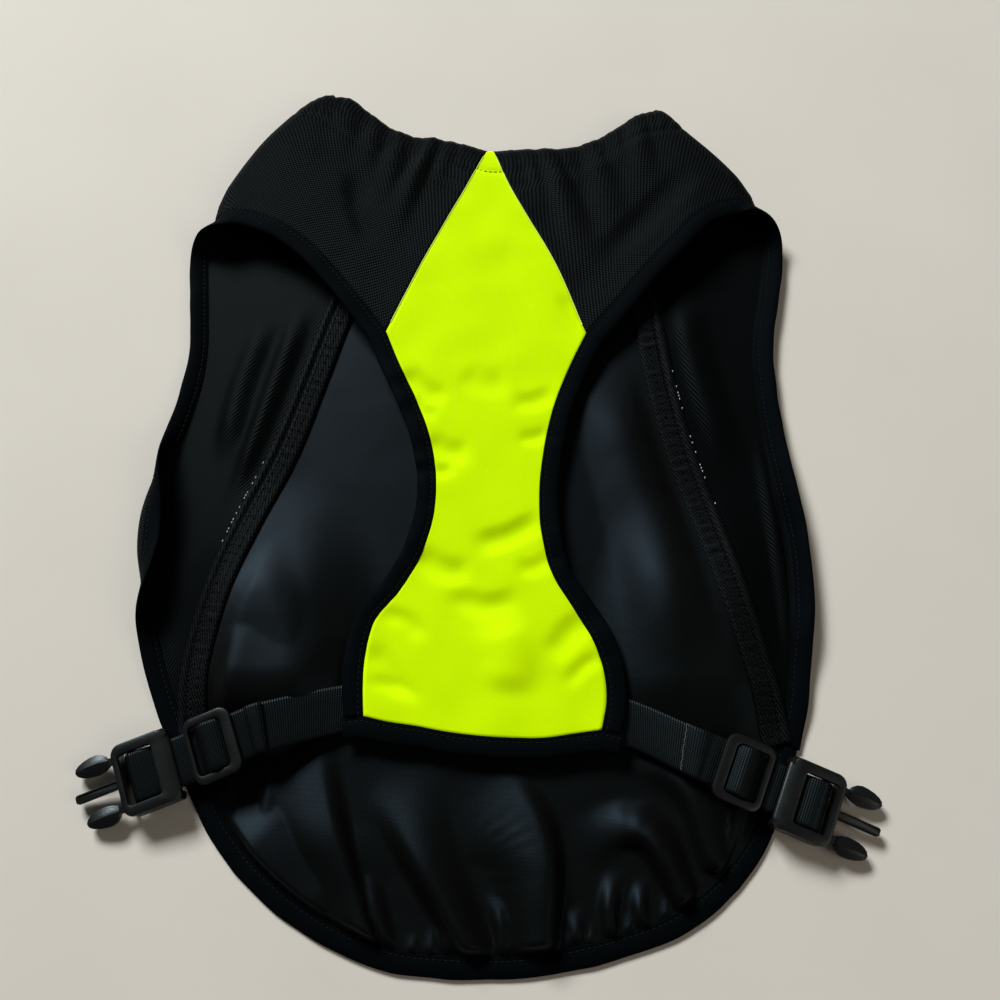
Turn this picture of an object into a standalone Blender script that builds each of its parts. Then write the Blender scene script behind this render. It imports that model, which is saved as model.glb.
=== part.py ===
"""Dog cooling vest, laid flat on its back with the chest side up.

The vest is a tube of cloth. Its back panel lies on the table with the inside showing. Two mesh
side panels are sewn to it, roll up and over at the shoulders, and come down to a chest panel that
lies above the back. A narrow binding runs round each armhole, along the chest hem and round the
tail. A strap with a slider and the pronged half of a buckle leaves each lower corner of the chest,
and the socket halves are sewn under the back, so the cloth rises over them.

Lengths in the tables are in millimetres. X is the wearer's width, Y runs from tail to neck, Z is
up from the table.
"""

import math
from collections import namedtuple

import bmesh
import bpy
import numpy as np
from mathutils import Matrix, Vector

MM = 0.001
SHARP_ANGLE = math.radians(40)

# Cloth and trims
CLOTH = 2.0
SEAM_GAP = 0.6
BINDING_WIDTH = 10.0
BINDING_THICK = 3.0
WEBBING_WIDTH = 25.0
WEBBING_THICK = 1.4
LAYER_GAP = 0.3
SEAM_STRIP_WIDTH = 14.0
SEAM_STRIP_THICK = 0.8

# Heights of the middle of the cloth above the table
BACK_REST = CLOTH / 2
EDGE_LIFT = (BINDING_THICK - CLOTH) / 2
EDGE_LIFT_REACH = 20.0
CHEST_HEIGHT = 9.6
SHOULDER_RISE = 8.4
SHOULDER_FROM = 50.0
SHOULDER_OVER = 80.0

# Buckle sizes
SLIDER_LENGTH, SLIDER_WIDTH, SLIDER_THICK = 26.0, 34.0, 3.0
SLIDER_END_RAIL = 3.9
SLIDER_SIDE_RAIL = 3.8
SLIDER_BAR = 3.0
PLUG_LENGTH, PLUG_WIDTH, PLUG_THICK = 30.0, 37.0, 9.0
PLUG_WALL = 4.4
PLUG_FRONT = 3.6
PLUG_HOOD = 9.0
PLUG_HOOD_THICK = 2.4
PLUG_BAR_RADIUS = 1.6
PLUG_BAR_AT = -0.5
SOCKET_LENGTH, SOCKET_WIDTH, SOCKET_THICK = 30.0, 34.0, 9.0
SOCKET_WALL = 1.7

# The vest's middle, as the tables measure it, moved to the middle of its whole footprint
FOOTPRINT_SHIFT = (2.64, 3.65)

Crease = namedtuple("Crease", "x y turn radius")
Fold = namedtuple("Fold", "x0 y0 x1 y1 x2 y2 width height")
Pucker = namedtuple("Pucker", "x length height")
Gather = namedtuple("Gather", "x width height reach")
Side = namedtuple("Side", "name sign crease seam seam_lift chest_seam arm_edge strap_start slider plug free_end socket")

# Where the cloth of each side panel starts to turn up from the table: over the shoulder it turns
# right over, and down the flank it only curls. The turn is in degrees.
CREASE_LEFT = [
    Crease(-94, 248, 180, 5.0),
    Crease(-106, 240, 180, 5.5),
    Crease(-118, 227, 180, 6.0),
    Crease(-139, 198, 180, 6.0),
    Crease(-150, 177, 180, 6.0),
    Crease(-156, 164, 180, 6.0),
    Crease(-159, 157, 120, 6.0),
    Crease(-162, 149, 60, 6.0),
    Crease(-164, 139, 30, 6.0),
    Crease(-161, 104, 26, 6.0),
    Crease(-159, 76, 24, 6.0),
    Crease(-162, 42, 30, 6.0),
    Crease(-169, 12, 48, 5.5),
    Crease(-177, -8, 86, 5.0),
    Crease(-181, -26, 112, 5.0),
    Crease(-181, -44, 112, 5.0),
    Crease(-176, -64, 80, 5.5),
    Crease(-170, -87, 38, 6.0),
    Crease(-164, -110, 22, 6.0),
    Crease(-156, -132, 12, 6.0),
    Crease(-148.4, -148, 3, 6.0),
]
CREASE_RIGHT = [
    Crease(104, 236, 180, 5.0),
    Crease(110, 230, 180, 5.5),
    Crease(120, 217, 180, 6.0),
    Crease(138, 197, 180, 6.0),
    Crease(149, 183, 180, 6.0),
    Crease(156, 173, 180, 6.0),
    Crease(161, 166, 120, 6.0),
    Crease(165, 157, 60, 6.0),
    Crease(166.5, 144, 30, 6.0),
    Crease(162, 114, 26, 6.0),
    Crease(155, 76, 24, 6.0),
    Crease(155, 52, 24, 6.0),
    Crease(156, 30, 26, 6.0),
    Crease(158, 6, 34, 6.0),
    Crease(160, -14, 40, 6.0),
    Crease(163, -36, 44, 6.0),
    Crease(164, -56, 42, 6.0),
    Crease(163, -80, 32, 6.0),
    Crease(160, -102, 22, 6.0),
    Crease(157, -127, 12, 6.0),
    Crease(151.9, -149, 3, 6.0),
]
CORNER_ROW = 5

# Back seams, neck to waist
SEAM_LEFT = [(-38, 214), (-62, 158), (-83, 108), (-98, 58), (-110, 18), (-128, -28), (-143, -75), (-150, -118), (-147.5, -148)]
SEAM_RIGHT = [(50, 213), (76, 152), (95, 98), (101, 58), (108, 22), (124, -36), (138, -90), (147, -126), (151, -149)]

# Neck edges: the chest side lies above the back side and hides it
NECK_LEFT = [(1.2, 211), (-15, 216), (-34, 220), (-47, 222), (-61, 229), (-75, 240), (-86, 248), (-94, 248)]
NECK_RIGHT = [(4.8, 211), (23, 212), (44, 212), (64, 216), (77, 223), (88, 230), (98, 235), (104, 236)]
NECK_BACK = [(-38, 214), (-15, 209), (6, 207), (28, 208), (50, 213)]

# Chest panel: the kite's upper edges, then the arm edges down to the hem
CHEST_SEAM_LEFT = [(1.2, 211), (-9, 189), (-36, 133), (-57, 84)]
CHEST_SEAM_RIGHT = [(4.8, 211), (13, 189), (42, 129), (59, 83)]
CHEST_ARM_LEFT = [(-57, 84), (-49, 64), (-39, 42), (-31, 20), (-27, -2), (-28, -30), (-35, -52), (-45, -70), (-57, -85), (-61, -100), (-62, -120), (-61, -136)]
CHEST_ARM_RIGHT = [(59, 83), (47, 57), (40, 38), (34, 12), (31, -14), (32, -38), (38, -62), (48, -79), (57, -94), (63, -112), (64, -127), (61, -143)]
CHEST_HEM = [(-61, -136), (-48, -139), (-34, -141), (-18, -144), (-2, -146), (15, -147), (32, -147), (46, -145), (61, -143)]

# Armhole edges of the mesh, from the chest out to the shoulder
ARM_EDGE_LEFT = [(-57, 84), (-72, 104), (-88, 124), (-104, 141), (-121, 153), (-140, 161), (-156, 164)]
ARM_EDGE_RIGHT = [(59, 83), (73, 99), (91, 122), (111, 144), (124, 158), (138, 167), (157, 172)]

# Edge of the back panel round the tail, waist to waist, at the inner side of the binding
TAIL_LEFT = [(-147.5, -148), (-143.5, -159), (-137, -172), (-127, -189), (-115, -204)]
TAIL_BOTTOM = [(-115, -204), (-104, -214), (-88, -226), (-68, -237), (-43, -246), (-15, -249), (18, -249), (45, -245), (70, -239), (92, -231), (108, -221), (119, -212)]
TAIL_RIGHT = [(151, -149), (148, -161), (141.5, -177), (132, -196), (119, -212)]

# Folds that stand up from the back panel and the flanks
BACK_FOLDS = [
    Fold(-92, -156, -80, -182, -54, -222, 17, 6.5),
    Fold(-112, -172, -110, -190, -104, -208, 9, 3.5),
    Fold(-90, -196, -85, -213, -78, -232, 7, 3.5),
    Fold(-57, -210, -50, -228, -44, -242, 7, 3.5),
    Fold(-42, -186, -26, -214, -4, -244, 11, 6.0),
    Fold(8, -170, 28, -196, 30, -240, 18, 7.5),
    Fold(50, -206, 76, -196, 98, -224, 10, 6.0),
    Fold(64, -214, 63, -226, 62, -238, 6, 3.5),
    Fold(77, -214, 77, -225, 79, -236, 5, 3.0),
    Fold(80, -158, 98, -172, 112, -200, 13, 5.0),
    Fold(-120, 104, -140, 48, -148, 10, 11, 4.5),
    Fold(-98, 104, -122, 34, -142, -24, 8, 3.5),
    Fold(-106, 78, -120, 40, -130, 6, 7, 2.0),
    Fold(118, 110, 122, 60, 134, 10, 12, 3.5),
    Fold(146, 4, 150, -36, 152, -84, 7, 4.5),
    Fold(-72, 40, -88, -10, -96, -50, 20, 1.6),
    Fold(70, 30, 84, -20, 96, -66, 22, 2.4),
]

# Short puckers where the elastic binding gathers the tail, at their place along X
TAIL_PUCKERS = [
    Pucker(-96, 14, 1.6),
    Pucker(-89, 10, 2.0),
    Pucker(-81, 18, 2.4),
    Pucker(-74, 12, 1.8),
    Pucker(-66, 16, 2.2),
    Pucker(-58, 10, 1.8),
    Pucker(-51, 13, 2.4),
    Pucker(-43, 16, 2.0),
    Pucker(-33, 10, 1.8),
    Pucker(-24, 14, 2.2),
    Pucker(-15, 11, 2.0),
    Pucker(-5, 16, 2.6),
    Pucker(4, 10, 1.6),
    Pucker(14, 12, 1.8),
    Pucker(25, 16, 2.4),
    Pucker(34, 11, 2.2),
    Pucker(42, 13, 2.0),
    Pucker(53, 10, 1.6),
    Pucker(63, 17, 2.2),
    Pucker(72, 11, 1.8),
    Pucker(80, 14, 2.2),
    Pucker(90, 12, 2.0),
    Pucker(99, 15, 2.0),
]
PUCKER_WIDTH = 3.4

# Gathers that the neck elastic draws in the mesh, at their place along X
NECK_GATHERS = [
    Gather(-82, 11, 1.2, 60),
    Gather(-64, 8, 1.8, 75),
    Gather(-48, 7, 2.2, 70),
    Gather(-35, 6, 2.0, 85),
    Gather(-23, 5, 1.8, 40),
    Gather(-12, 4, 1.2, 22),
    Gather(16, 5, 1.6, 30),
    Gather(27, 5, 2.0, 60),
    Gather(38, 5, 1.8, 45),
    Gather(50, 6, 2.2, 85),
    Gather(62, 5, 1.6, 50),
    Gather(74, 6, 2.0, 80),
    Gather(88, 7, 1.4, 60),
]

# Soft dents and creases of the chest panel
CHEST_FOLDS = [
    Fold(-44, 60, -34, 48, -22, 42, 9, -1.0),
    Fold(-30, 20, -20, 12, -8, 12, 9, -1.0),
    Fold(-34, -46, -24, -56, -8, -60, 10, -1.2),
    Fold(32, -30, 12, -40, -6, -44, 9, -1.2),
    Fold(54, -84, 44, -90, 36, -102, 10, -1.0),
    Fold(-54, -100, -44, -112, -38, -124, 9, -0.9),
    Fold(58, 84, 50, 98, 44, 108, 7, -0.9),
    Fold(10, -84, 14, -104, 12, -122, 18, 1.2),
]


def left_side():
    return Side(
        name="left",
        sign=-1,
        crease=CREASE_LEFT,
        seam=SEAM_LEFT,
        seam_lift=1.4,
        chest_seam=CHEST_SEAM_LEFT,
        arm_edge=ARM_EDGE_LEFT,
        strap_start=(-63.0, -132.0, 6.8),
        slider=(-134.3, -151.0, 14.0, 200.3, 12.0),
        plug=(-167.2, -163.8, 9.0, 200.3, 7.0),
        free_end=28.0,
        socket=(-115.0, -97.0),
    )


def right_side():
    return Side(
        name="right",
        sign=1,
        crease=CREASE_RIGHT,
        seam=SEAM_RIGHT,
        seam_lift=0.9,
        chest_seam=CHEST_SEAM_RIGHT,
        arm_edge=ARM_EDGE_RIGHT,
        strap_start=(64.0, -139.0, 6.8),
        slider=(130.1, -163.8, 12.0, -22.5, 6.0),
        plug=(162.0, -177.8, 8.8, -22.5, 7.0),
        free_end=33.0,
        socket=(116.0, -101.0),
    )


def smoothstep(low, high, value):
    share = np.clip((value - low) / (high - low), 0.0, 1.0)
    return share * share * (3.0 - 2.0 * share)


def bell(value):
    """One at nought, falling smoothly to nought at one and beyond."""
    return np.clip(1.0 - value * value, 0.0, None) ** 2


def smooth_curve(points, count):
    """So many points, evenly spaced, along a smooth curve through the rows of a table."""
    table = np.array(points, float)
    chords = np.linalg.norm(np.diff(table[:, :2], axis=0), axis=1)
    place = np.concatenate([[0.0], np.cumsum(chords)])
    slope = np.gradient(table, place, axis=0)

    def at(where):
        i = np.clip(np.searchsorted(place, where, side="right") - 1, 0, len(place) - 2)
        span = place[i + 1] - place[i]
        t = ((where - place[i]) / span)[:, None]
        span = span[:, None]
        return (
            (2 * t**3 - 3 * t**2 + 1) * table[i]
            + (t**3 - 2 * t**2 + t) * span * slope[i]
            + (3 * t**2 - 2 * t**3) * table[i + 1]
            + (t**3 - t**2) * span * slope[i + 1]
        )

    fine = at(np.linspace(0.0, place[-1], 400))
    run = np.concatenate([[0.0], np.cumsum(np.linalg.norm(np.diff(fine[:, :2], axis=0), axis=1))])
    even = np.linspace(0.0, run[-1], count)
    return np.stack([np.interp(even, run, fine[:, k]) for k in range(fine.shape[1])], axis=1)


def point_on(curve, share):
    """Points at shares of the way along an evenly sampled curve."""
    place = np.linspace(0.0, 1.0, len(curve))
    return np.stack([np.interp(share, place, curve[:, k]) for k in range(curve.shape[1])], axis=-1)


def nearest(x, y, line):
    """Distance to a polyline, and how far along it the nearest point lies, for arrays of points."""
    points = np.stack([np.ravel(x), np.ravel(y)], axis=1)
    best = np.full(len(points), 1e9)
    along = np.zeros(len(points))
    run = 0.0
    for a, b in zip(line[:-1], line[1:]):
        step = b - a
        length = np.linalg.norm(step)
        share = np.clip(((points - a) @ step) / max(length * length, 1e-9), 0.0, 1.0)
        gap = np.linalg.norm(points - a - share[:, None] * step, axis=1)
        closer = gap < best
        best = np.where(closer, gap, best)
        along = np.where(closer, run + share * length, along)
        run += length
    shape = np.shape(x)
    return best.reshape(shape), along.reshape(shape), run


def folds_at(x, y, folds):
    """Height that the folds of a table add. Each fades out across its width and at both ends."""
    total = np.zeros(np.shape(x))
    for fold in folds:
        line = smooth_curve([(fold.x0, fold.y0), (fold.x1, fold.y1), (fold.x2, fold.y2)], 9)
        gap, along, length = nearest(x, y, line)
        ends = smoothstep(0.0, 0.35, along / length) * smoothstep(1.0, 0.7, along / length)
        total = total + fold.height * bell(gap / fold.width) * (0.25 + 0.75 * ends)
    return total


TAIL_LINE = np.concatenate(
    [smooth_curve(TAIL_LEFT, 12), smooth_curve(TAIL_BOTTOM, 60), smooth_curve(TAIL_RIGHT, 12)[::-1]]
)
OUTLINE = np.concatenate(
    [
        np.array([row[:2] for row in CREASE_LEFT[CORNER_ROW + 2 :]], float),
        TAIL_LINE,
        np.array([row[:2] for row in CREASE_RIGHT[CORNER_ROW + 2 :]], float)[::-1],
    ]
)
SEAM_LINES = [np.array(SEAM_LEFT, float), np.array(SEAM_RIGHT, float)]
SEAM_STIFF_FROM, SEAM_STIFF_TO = 8.0, 20.0
LAY_UNEVEN = 0.12
LAY_WAVE_X, LAY_WAVE_Y = 13.0, 19.0
LAY_UNEVEN_BEYOND = 112.0
SOCKET_COVER_HALF = (19.0, 20.0)
COVER_RAMP_OUTER, COVER_RAMP_INNER = 24.0, 27.0
COVER_RAMP_WAIST, COVER_RAMP_NECK = 22.0, 44.0
SOCKET_COVER_RISE = SOCKET_THICK + LAYER_GAP + 1.2
TAIL_FLAT = 13.0
PUCKER_PEAK = 0.45


def socket_cover(x, y):
    """Rise of the back panel over the two socket halves that are sewn under it."""
    rise = np.zeros(np.shape(x))
    for side in (left_side(), right_side()):
        outer = (x - side.socket[0]) * side.sign
        neck = y - side.socket[1]
        across = np.clip(np.abs(outer) - SOCKET_COVER_HALF[0], 0.0, None)
        along = np.clip(np.abs(neck) - SOCKET_COVER_HALF[1], 0.0, None)
        across = across / np.where(outer > 0, COVER_RAMP_OUTER, COVER_RAMP_INNER)
        along = along / np.where(neck > 0, COVER_RAMP_NECK, COVER_RAMP_WAIST)
        rise = rise + SOCKET_COVER_RISE * (1.0 - smoothstep(0.0, 1.0, np.hypot(across, along)))
    return rise


def back_height(x, y):
    """Middle of the cloth that lies on the table."""
    x = np.asarray(x, float)
    y = np.asarray(y, float)
    from_edge, _, _ = nearest(x, y, OUTLINE)
    lift = EDGE_LIFT * (1.0 - smoothstep(0.0, EDGE_LIFT_REACH, from_edge))
    from_tail, _, _ = nearest(x, y, TAIL_LINE)
    from_seam = np.minimum(nearest(x, y, SEAM_LINES[0])[0], nearest(x, y, SEAM_LINES[1])[0])
    limp = smoothstep(SEAM_STIFF_FROM, SEAM_STIFF_TO, from_seam) * smoothstep(0.0, TAIL_FLAT, from_tail)
    folds = folds_at(x, y, BACK_FOLDS) * limp
    puckers = np.zeros(x.shape)
    for pucker in TAIL_PUCKERS:
        ridge = bell((x - pucker.x) / PUCKER_WIDTH)
        reach = from_tail / pucker.length
        puckers = puckers + pucker.height * ridge * smoothstep(0.25 * PUCKER_PEAK, PUCKER_PEAK, reach) * bell(reach)
    puckers = np.where(y < -190.0, puckers, 0.0)
    uneven = LAY_UNEVEN * (1.0 + np.sin(x / LAY_WAVE_X) * np.sin(y / LAY_WAVE_Y))
    uneven = np.where(np.abs(x) > LAY_UNEVEN_BEYOND, uneven, 0.0)
    return BACK_REST + lift + uneven + np.maximum(folds, puckers) + socket_cover(x, y)


def neck_edge(x):
    """Y of the chest side's neck edge."""
    left = smooth_curve(NECK_LEFT, 40)[::-1]
    right = smooth_curve(NECK_RIGHT, 40)
    line = np.concatenate([left, right])
    return np.interp(x, line[:, 0], line[:, 1])


def front_height(x, y):
    """Middle of the cloth of the chest and shoulders, which lies above the back."""
    x = np.asarray(x, float)
    y = np.asarray(y, float)
    shoulder = smoothstep(SHOULDER_FROM, SHOULDER_FROM + SHOULDER_OVER, np.abs(x)) * smoothstep(40.0, 110.0, y)
    below_neck = neck_edge(x) - y
    gathers = np.zeros(x.shape)
    for gather in NECK_GATHERS:
        spread = 1.0 + below_neck / 90.0
        lean = x - gather.x * (1.0 + 0.35 * below_neck / 100.0)
        fade = 1.0 - smoothstep(0.15 * gather.reach, gather.reach, below_neck)
        gathers = gathers + gather.height * bell(lean / (gather.width * spread)) * fade
    dents = folds_at(x, y, CHEST_FOLDS)
    return CHEST_HEIGHT + SHOULDER_RISE * shoulder + gathers + dents


def coons(bottom, top, left, right, u, v):
    """Point of the patch that four edge curves span. Bottom and top run with u, left and right with v."""
    u = np.asarray(u, float)[..., None]
    v = np.asarray(v, float)[..., None]
    low, high = point_on(bottom, u[..., 0]), point_on(top, u[..., 0])
    near, far = point_on(left, v[..., 0]), point_on(right, v[..., 0])
    corners = (
        (1 - u) * (1 - v) * bottom[0]
        + u * (1 - v) * bottom[-1]
        + (1 - u) * v * top[0]
        + u * v * top[-1]
    )
    return (1 - v) * low + v * high + (1 - u) * near + u * far - corners


def pushed(line, distance):
    """A polyline in plan, moved to its left by a distance."""
    step = np.gradient(line[:, :2], axis=0)
    step = step / np.linalg.norm(step, axis=1)[:, None]
    moved = line.copy()
    moved[:, 0] -= distance * step[:, 1]
    moved[:, 1] += distance * step[:, 0]
    return moved


def material(name, colour, roughness, metallic=0.0):
    found = bpy.data.materials.get(name)
    if found:
        return found
    made = bpy.data.materials.new(name)
    made.use_nodes = True
    shader = made.node_tree.nodes["Principled BSDF"]
    shader.inputs["Base Color"].default_value = (*colour, 1.0)
    shader.inputs["Roughness"].default_value = roughness
    shader.inputs["Metallic"].default_value = metallic
    return made


def mesh_black():
    return material("mesh_black", (0.018, 0.020, 0.024), 0.85)


def lining_black():
    return material("lining_black", (0.022, 0.026, 0.032), 0.55)


def neon_yellow():
    return material("neon_yellow", (0.66, 1.0, 0.0), 0.7)


def binding_black():
    return material("binding_black", (0.010, 0.011, 0.016), 0.9)


def webbing_black():
    return material("webbing_black", (0.020, 0.021, 0.026), 0.65)


def plastic_black():
    return material("plastic_black", (0.024, 0.025, 0.027), 0.38)


def put(name, mesh, finish, parent):
    """A named object of a mesh, in millimetres, with its finish and its parent."""
    mesh.transform(Matrix.Scale(MM, 4))
    mesh.shade_smooth()
    mesh.set_sharp_from_angle(angle=SHARP_ANGLE)
    mesh.materials.append(finish)
    obj = bpy.data.objects.new(name, mesh)
    bpy.context.scene.collection.objects.link(obj)
    obj.parent = parent
    return obj


def mesh_of(bm, name):
    bmesh.ops.recalc_face_normals(bm, faces=bm.faces)
    mesh = bpy.data.meshes.new(name)
    bm.to_mesh(mesh)
    bm.free()
    return mesh


def thicken(obj, thickness):
    wall = obj.modifiers.new("cloth", "SOLIDIFY")
    wall.thickness = thickness * MM
    wall.offset = 0.0
    wall.use_even_offset = False
    wall.use_quality_normals = True
    return obj


def grid(columns, rows):
    """A flat grid whose vertices stand at whole columns and rows."""
    bm = bmesh.new()
    bmesh.ops.create_grid(bm, x_segments=columns, y_segments=rows, size=0.5)
    for vert in bm.verts:
        vert.co.x = round((vert.co.x + 0.5) * columns)
        vert.co.y = round((vert.co.y + 0.5) * rows)
    return bm


def refine_rows(bm, low, high, cuts, first_column=-1.0):
    """Splits the edges that run along the rows from low to high, beyond a column."""
    found = [
        edge
        for edge in bm.edges
        if abs(edge.verts[0].co.y - edge.verts[1].co.y) < 1e-6
        and low <= edge.verts[0].co.y <= high
        and min(v.co.x for v in edge.verts) >= first_column
    ]
    bmesh.ops.subdivide_edges(bm, edges=found, cuts=cuts)


def shape_by(bm, where):
    """Moves every vertex of a flat grid to its place on the cloth."""
    columns = np.array([v.co.x for v in bm.verts])
    rows = np.array([v.co.y for v in bm.verts])
    for vert, place in zip(bm.verts, where(columns, rows)):
        vert.co = place


# Rows of the side panels: shares of the shoulder's fold, then lengths down the flank
FOLD_SHARES = [0, 0.09, 0.2, 0.33, 0.47, 0.61, 0.75, 0.88, 1.0]
FLANK_STEPS = [5, 5, 6, 7, 9, 12, 14] + [17] * 15
FOLD_ROWS = len(FOLD_SHARES) - 1
SIDE_ROWS = FOLD_ROWS + len(FLANK_STEPS)
SIDE_BACK_COLUMNS = 6
SIDE_ROLL_COLUMNS = 5
FRONT_SHARES = [0, 0.035, 0.08, 0.14, 0.21, 0.29, 0.37, 0.45, 0.53, 0.61, 0.69, 0.77, 0.85, 0.93, 1.0]
SIDE_FRONT_COLUMNS = len(FRONT_SHARES) - 1
ROLL_AT = SIDE_BACK_COLUMNS + SIDE_ROLL_COLUMNS


def side_rows(side):
    """Crease, outward direction and seam point of each row of a side panel, neck to waist."""
    over = point_on(smooth_curve(side.crease[: CORNER_ROW + 1], 200), np.array(FOLD_SHARES))
    places = np.cumsum(FLANK_STEPS) / np.sum(FLANK_STEPS)
    flank = point_on(smooth_curve(side.crease[CORNER_ROW:], 200), places)
    crease = np.concatenate([over, flank])
    step = np.gradient(crease[:, :2], axis=0)
    step = step / np.linalg.norm(step, axis=1)[:, None]
    outward = np.stack([side.sign * -step[:, 1], side.sign * step[:, 0]], axis=1)
    run = np.concatenate([[0.0], np.cumsum(np.linalg.norm(np.diff(crease[:, :2], axis=0), axis=1))])
    seam = point_on(smooth_curve(side.seam, 200), run / run[-1])
    return crease, outward, seam


BACK_COLUMNS = 30
TAIL_SHARES = [0, 0.018, 0.045, 0.08, 0.125, 0.18, 0.25, 0.34, 0.45, 0.58, 0.72, 0.86]
TAIL_ROWS = len(TAIL_SHARES)
BACK_FINE_ROWS = 4


def back_edges():
    """Left and right ends of the back panel's rows, tail to neck. Its seams share the side panels' rows."""
    ends = []
    for side, tail in ((left_side(), TAIL_LEFT), (right_side(), TAIL_RIGHT)):
        seam = pushed(side_rows(side)[2], -side.sign * SEAM_GAP / 2)[::-1]
        edge = smooth_curve(tail, 100)[::-1]
        edge[-1] = seam[0]
        ends.append(np.concatenate([point_on(edge, np.array(TAIL_SHARES)), seam]))
    return ends


def back_surface():
    """Places the back panel's grid between its edges."""
    left, right = back_edges()
    tail, neck = smooth_curve(TAIL_BOTTOM, 120), smooth_curve(NECK_BACK, 30)
    tail[0], tail[-1] = left[0], right[0]
    neck[0], neck[-1] = left[-1], right[-1]
    last = len(left) - 1

    def where(columns, rows):
        plan = coons(tail, neck, left, right, columns / BACK_COLUMNS, rows / last)
        return np.column_stack([plan, back_height(plan[:, 0], plan[:, 1])])

    return where


def back_panel(parent):
    """The large panel along the spine, which lies on the table with its lining up."""
    bm = grid(BACK_COLUMNS, TAIL_ROWS + SIDE_ROWS)
    refine_rows(bm, 0, TAIL_ROWS, 1)
    refine_rows(bm, 0, BACK_FINE_ROWS, 1)
    shape_by(bm, back_surface())
    return thicken(put("back_panel", mesh_of(bm, "back_panel"), lining_black(), parent), CLOTH)


def side_surface(side):
    """Places the side panel's grid: under the shoulder, round the roll, and back over the top."""
    crease, outward, seam = side_rows(side)
    seam = pushed(seam, side.sign * SEAM_GAP / 2)
    neck = smooth_curve(NECK_LEFT if side.sign < 0 else NECK_RIGHT, 80)[::-1]
    chest = pushed(smooth_curve(side.chest_seam, 80), side.sign * SEAM_GAP)
    arm = smooth_curve(side.arm_edge, 80)[::-1]
    fold = crease[: FOLD_ROWS + 1, :2]
    neck[0], arm[0] = fold[0], fold[-1]
    neck[-1], arm[-1] = chest[0], chest[-1]
    even = np.linspace(0.0, 1.0, 80)
    fold = np.stack([np.interp(even, FOLD_SHARES, fold[:, k]) for k in range(2)], axis=1)

    def where(columns, rows):
        i = np.round(rows).astype(int)
        start, turn, radius = crease[i, :2], np.radians(crease[i, 2]), crease[i, 3]
        share = np.clip(columns / SIDE_BACK_COLUMNS, 0.0, 1.0)[:, None]
        plan = seam[i] + share * (start - seam[i])
        height = back_height(plan[:, 0], plan[:, 1])

        rolled = np.clip((columns - SIDE_BACK_COLUMNS) / SIDE_ROLL_COLUMNS, 0.0, 1.0) * turn
        gap = (front_height(start[:, 0], start[:, 1]) - height) / 2
        rise = np.where(i <= FOLD_ROWS, gap, np.maximum(radius, gap * smoothstep(45.0, 180.0, crease[i, 2])))
        plan = plan + outward[i] * (radius * np.sin(rolled))[:, None]
        height = height + rise * (1.0 - np.cos(rolled))

        front = columns > ROLL_AT
        u = np.interp(columns - ROLL_AT, np.arange(SIDE_FRONT_COLUMNS + 1), FRONT_SHARES)
        v = np.interp(rows, np.arange(FOLD_ROWS + 1), FOLD_SHARES)
        over = coons(neck, arm, fold, chest, u, v)
        plan = np.where(front[:, None], over, plan)
        height = np.where(front, front_height(plan[:, 0], plan[:, 1]), height)
        return np.column_stack([plan, height])

    return where


def side_grid():
    """The L-shaped grid of a side panel: the shoulder's rows run on over the front."""
    bm = grid(ROLL_AT + SIDE_FRONT_COLUMNS, SIDE_ROWS)
    off = [
        face
        for face in bm.faces
        if face.calc_center_median().x > ROLL_AT and face.calc_center_median().y > FOLD_ROWS
    ]
    bmesh.ops.delete(bm, geom=off, context="FACES")
    refine_rows(bm, 0, 2, 1, ROLL_AT)
    return bm


def side_panel(side, parent):
    bm = side_grid()
    shape_by(bm, side_surface(side))
    name = f"side_panel_{side.name}"
    return thicken(put(name, mesh_of(bm, name), mesh_black(), parent), CLOTH)


CHEST_COLUMNS = 12
CHEST_KITE_ROWS = 9
CHEST_LOWER_ROWS = 16


def chest_rows():
    """Left and right ends of the chest panel's rows, hem to neck."""
    sides = []
    for seam, arm in ((CHEST_SEAM_LEFT, CHEST_ARM_LEFT), (CHEST_SEAM_RIGHT, CHEST_ARM_RIGHT)):
        upper = smooth_curve(seam, CHEST_KITE_ROWS + 1)
        lower = smooth_curve(arm, CHEST_LOWER_ROWS + 1)
        sides.append(np.concatenate([upper, lower[1:]])[::-1])
    return sides


def chest_surface():
    left, right = chest_rows()
    hem = smooth_curve(CHEST_HEM, CHEST_COLUMNS + 1)
    straight = left[0] + np.linspace(0, 1, CHEST_COLUMNS + 1)[:, None] * (right[0] - left[0])
    sag = hem - straight

    def where(columns, rows):
        share = (columns / CHEST_COLUMNS)[:, None]
        i = np.round(rows).astype(int)
        fade = (1.0 - smoothstep(0.0, 5.0, rows))[:, None]
        plan = left[i] + share * (right[i] - left[i]) + fade * point_on(sag, columns / CHEST_COLUMNS)
        return np.column_stack([plan, front_height(plan[:, 0], plan[:, 1])])

    return where


def chest_panel(parent):
    """The bright panel under the dog's chest, from the neck to the hem."""
    bm = grid(CHEST_COLUMNS, CHEST_KITE_ROWS + CHEST_LOWER_ROWS)
    shape_by(bm, chest_surface())
    return thicken(put("chest_panel", mesh_of(bm, "chest_panel"), neon_yellow(), parent), CLOTH)


def edge_frames(surface, cells, inner):
    """Points, normals and outward directions along an edge of a cloth surface.

    cells are the edge's grid places in order, and inner are places a little way into the cloth.
    """
    edge = np.array(surface(*np.array(cells, float).T), float)
    inside = np.array(surface(*np.array(inner, float).T), float)
    tangent = np.gradient(edge, axis=0)
    tangent = tangent / np.linalg.norm(tangent, axis=1)[:, None]
    away = edge - inside
    away = away - (away * tangent).sum(1)[:, None] * tangent
    away = away / np.linalg.norm(away, axis=1)[:, None]
    return edge, np.cross(away, tangent), away


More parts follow.
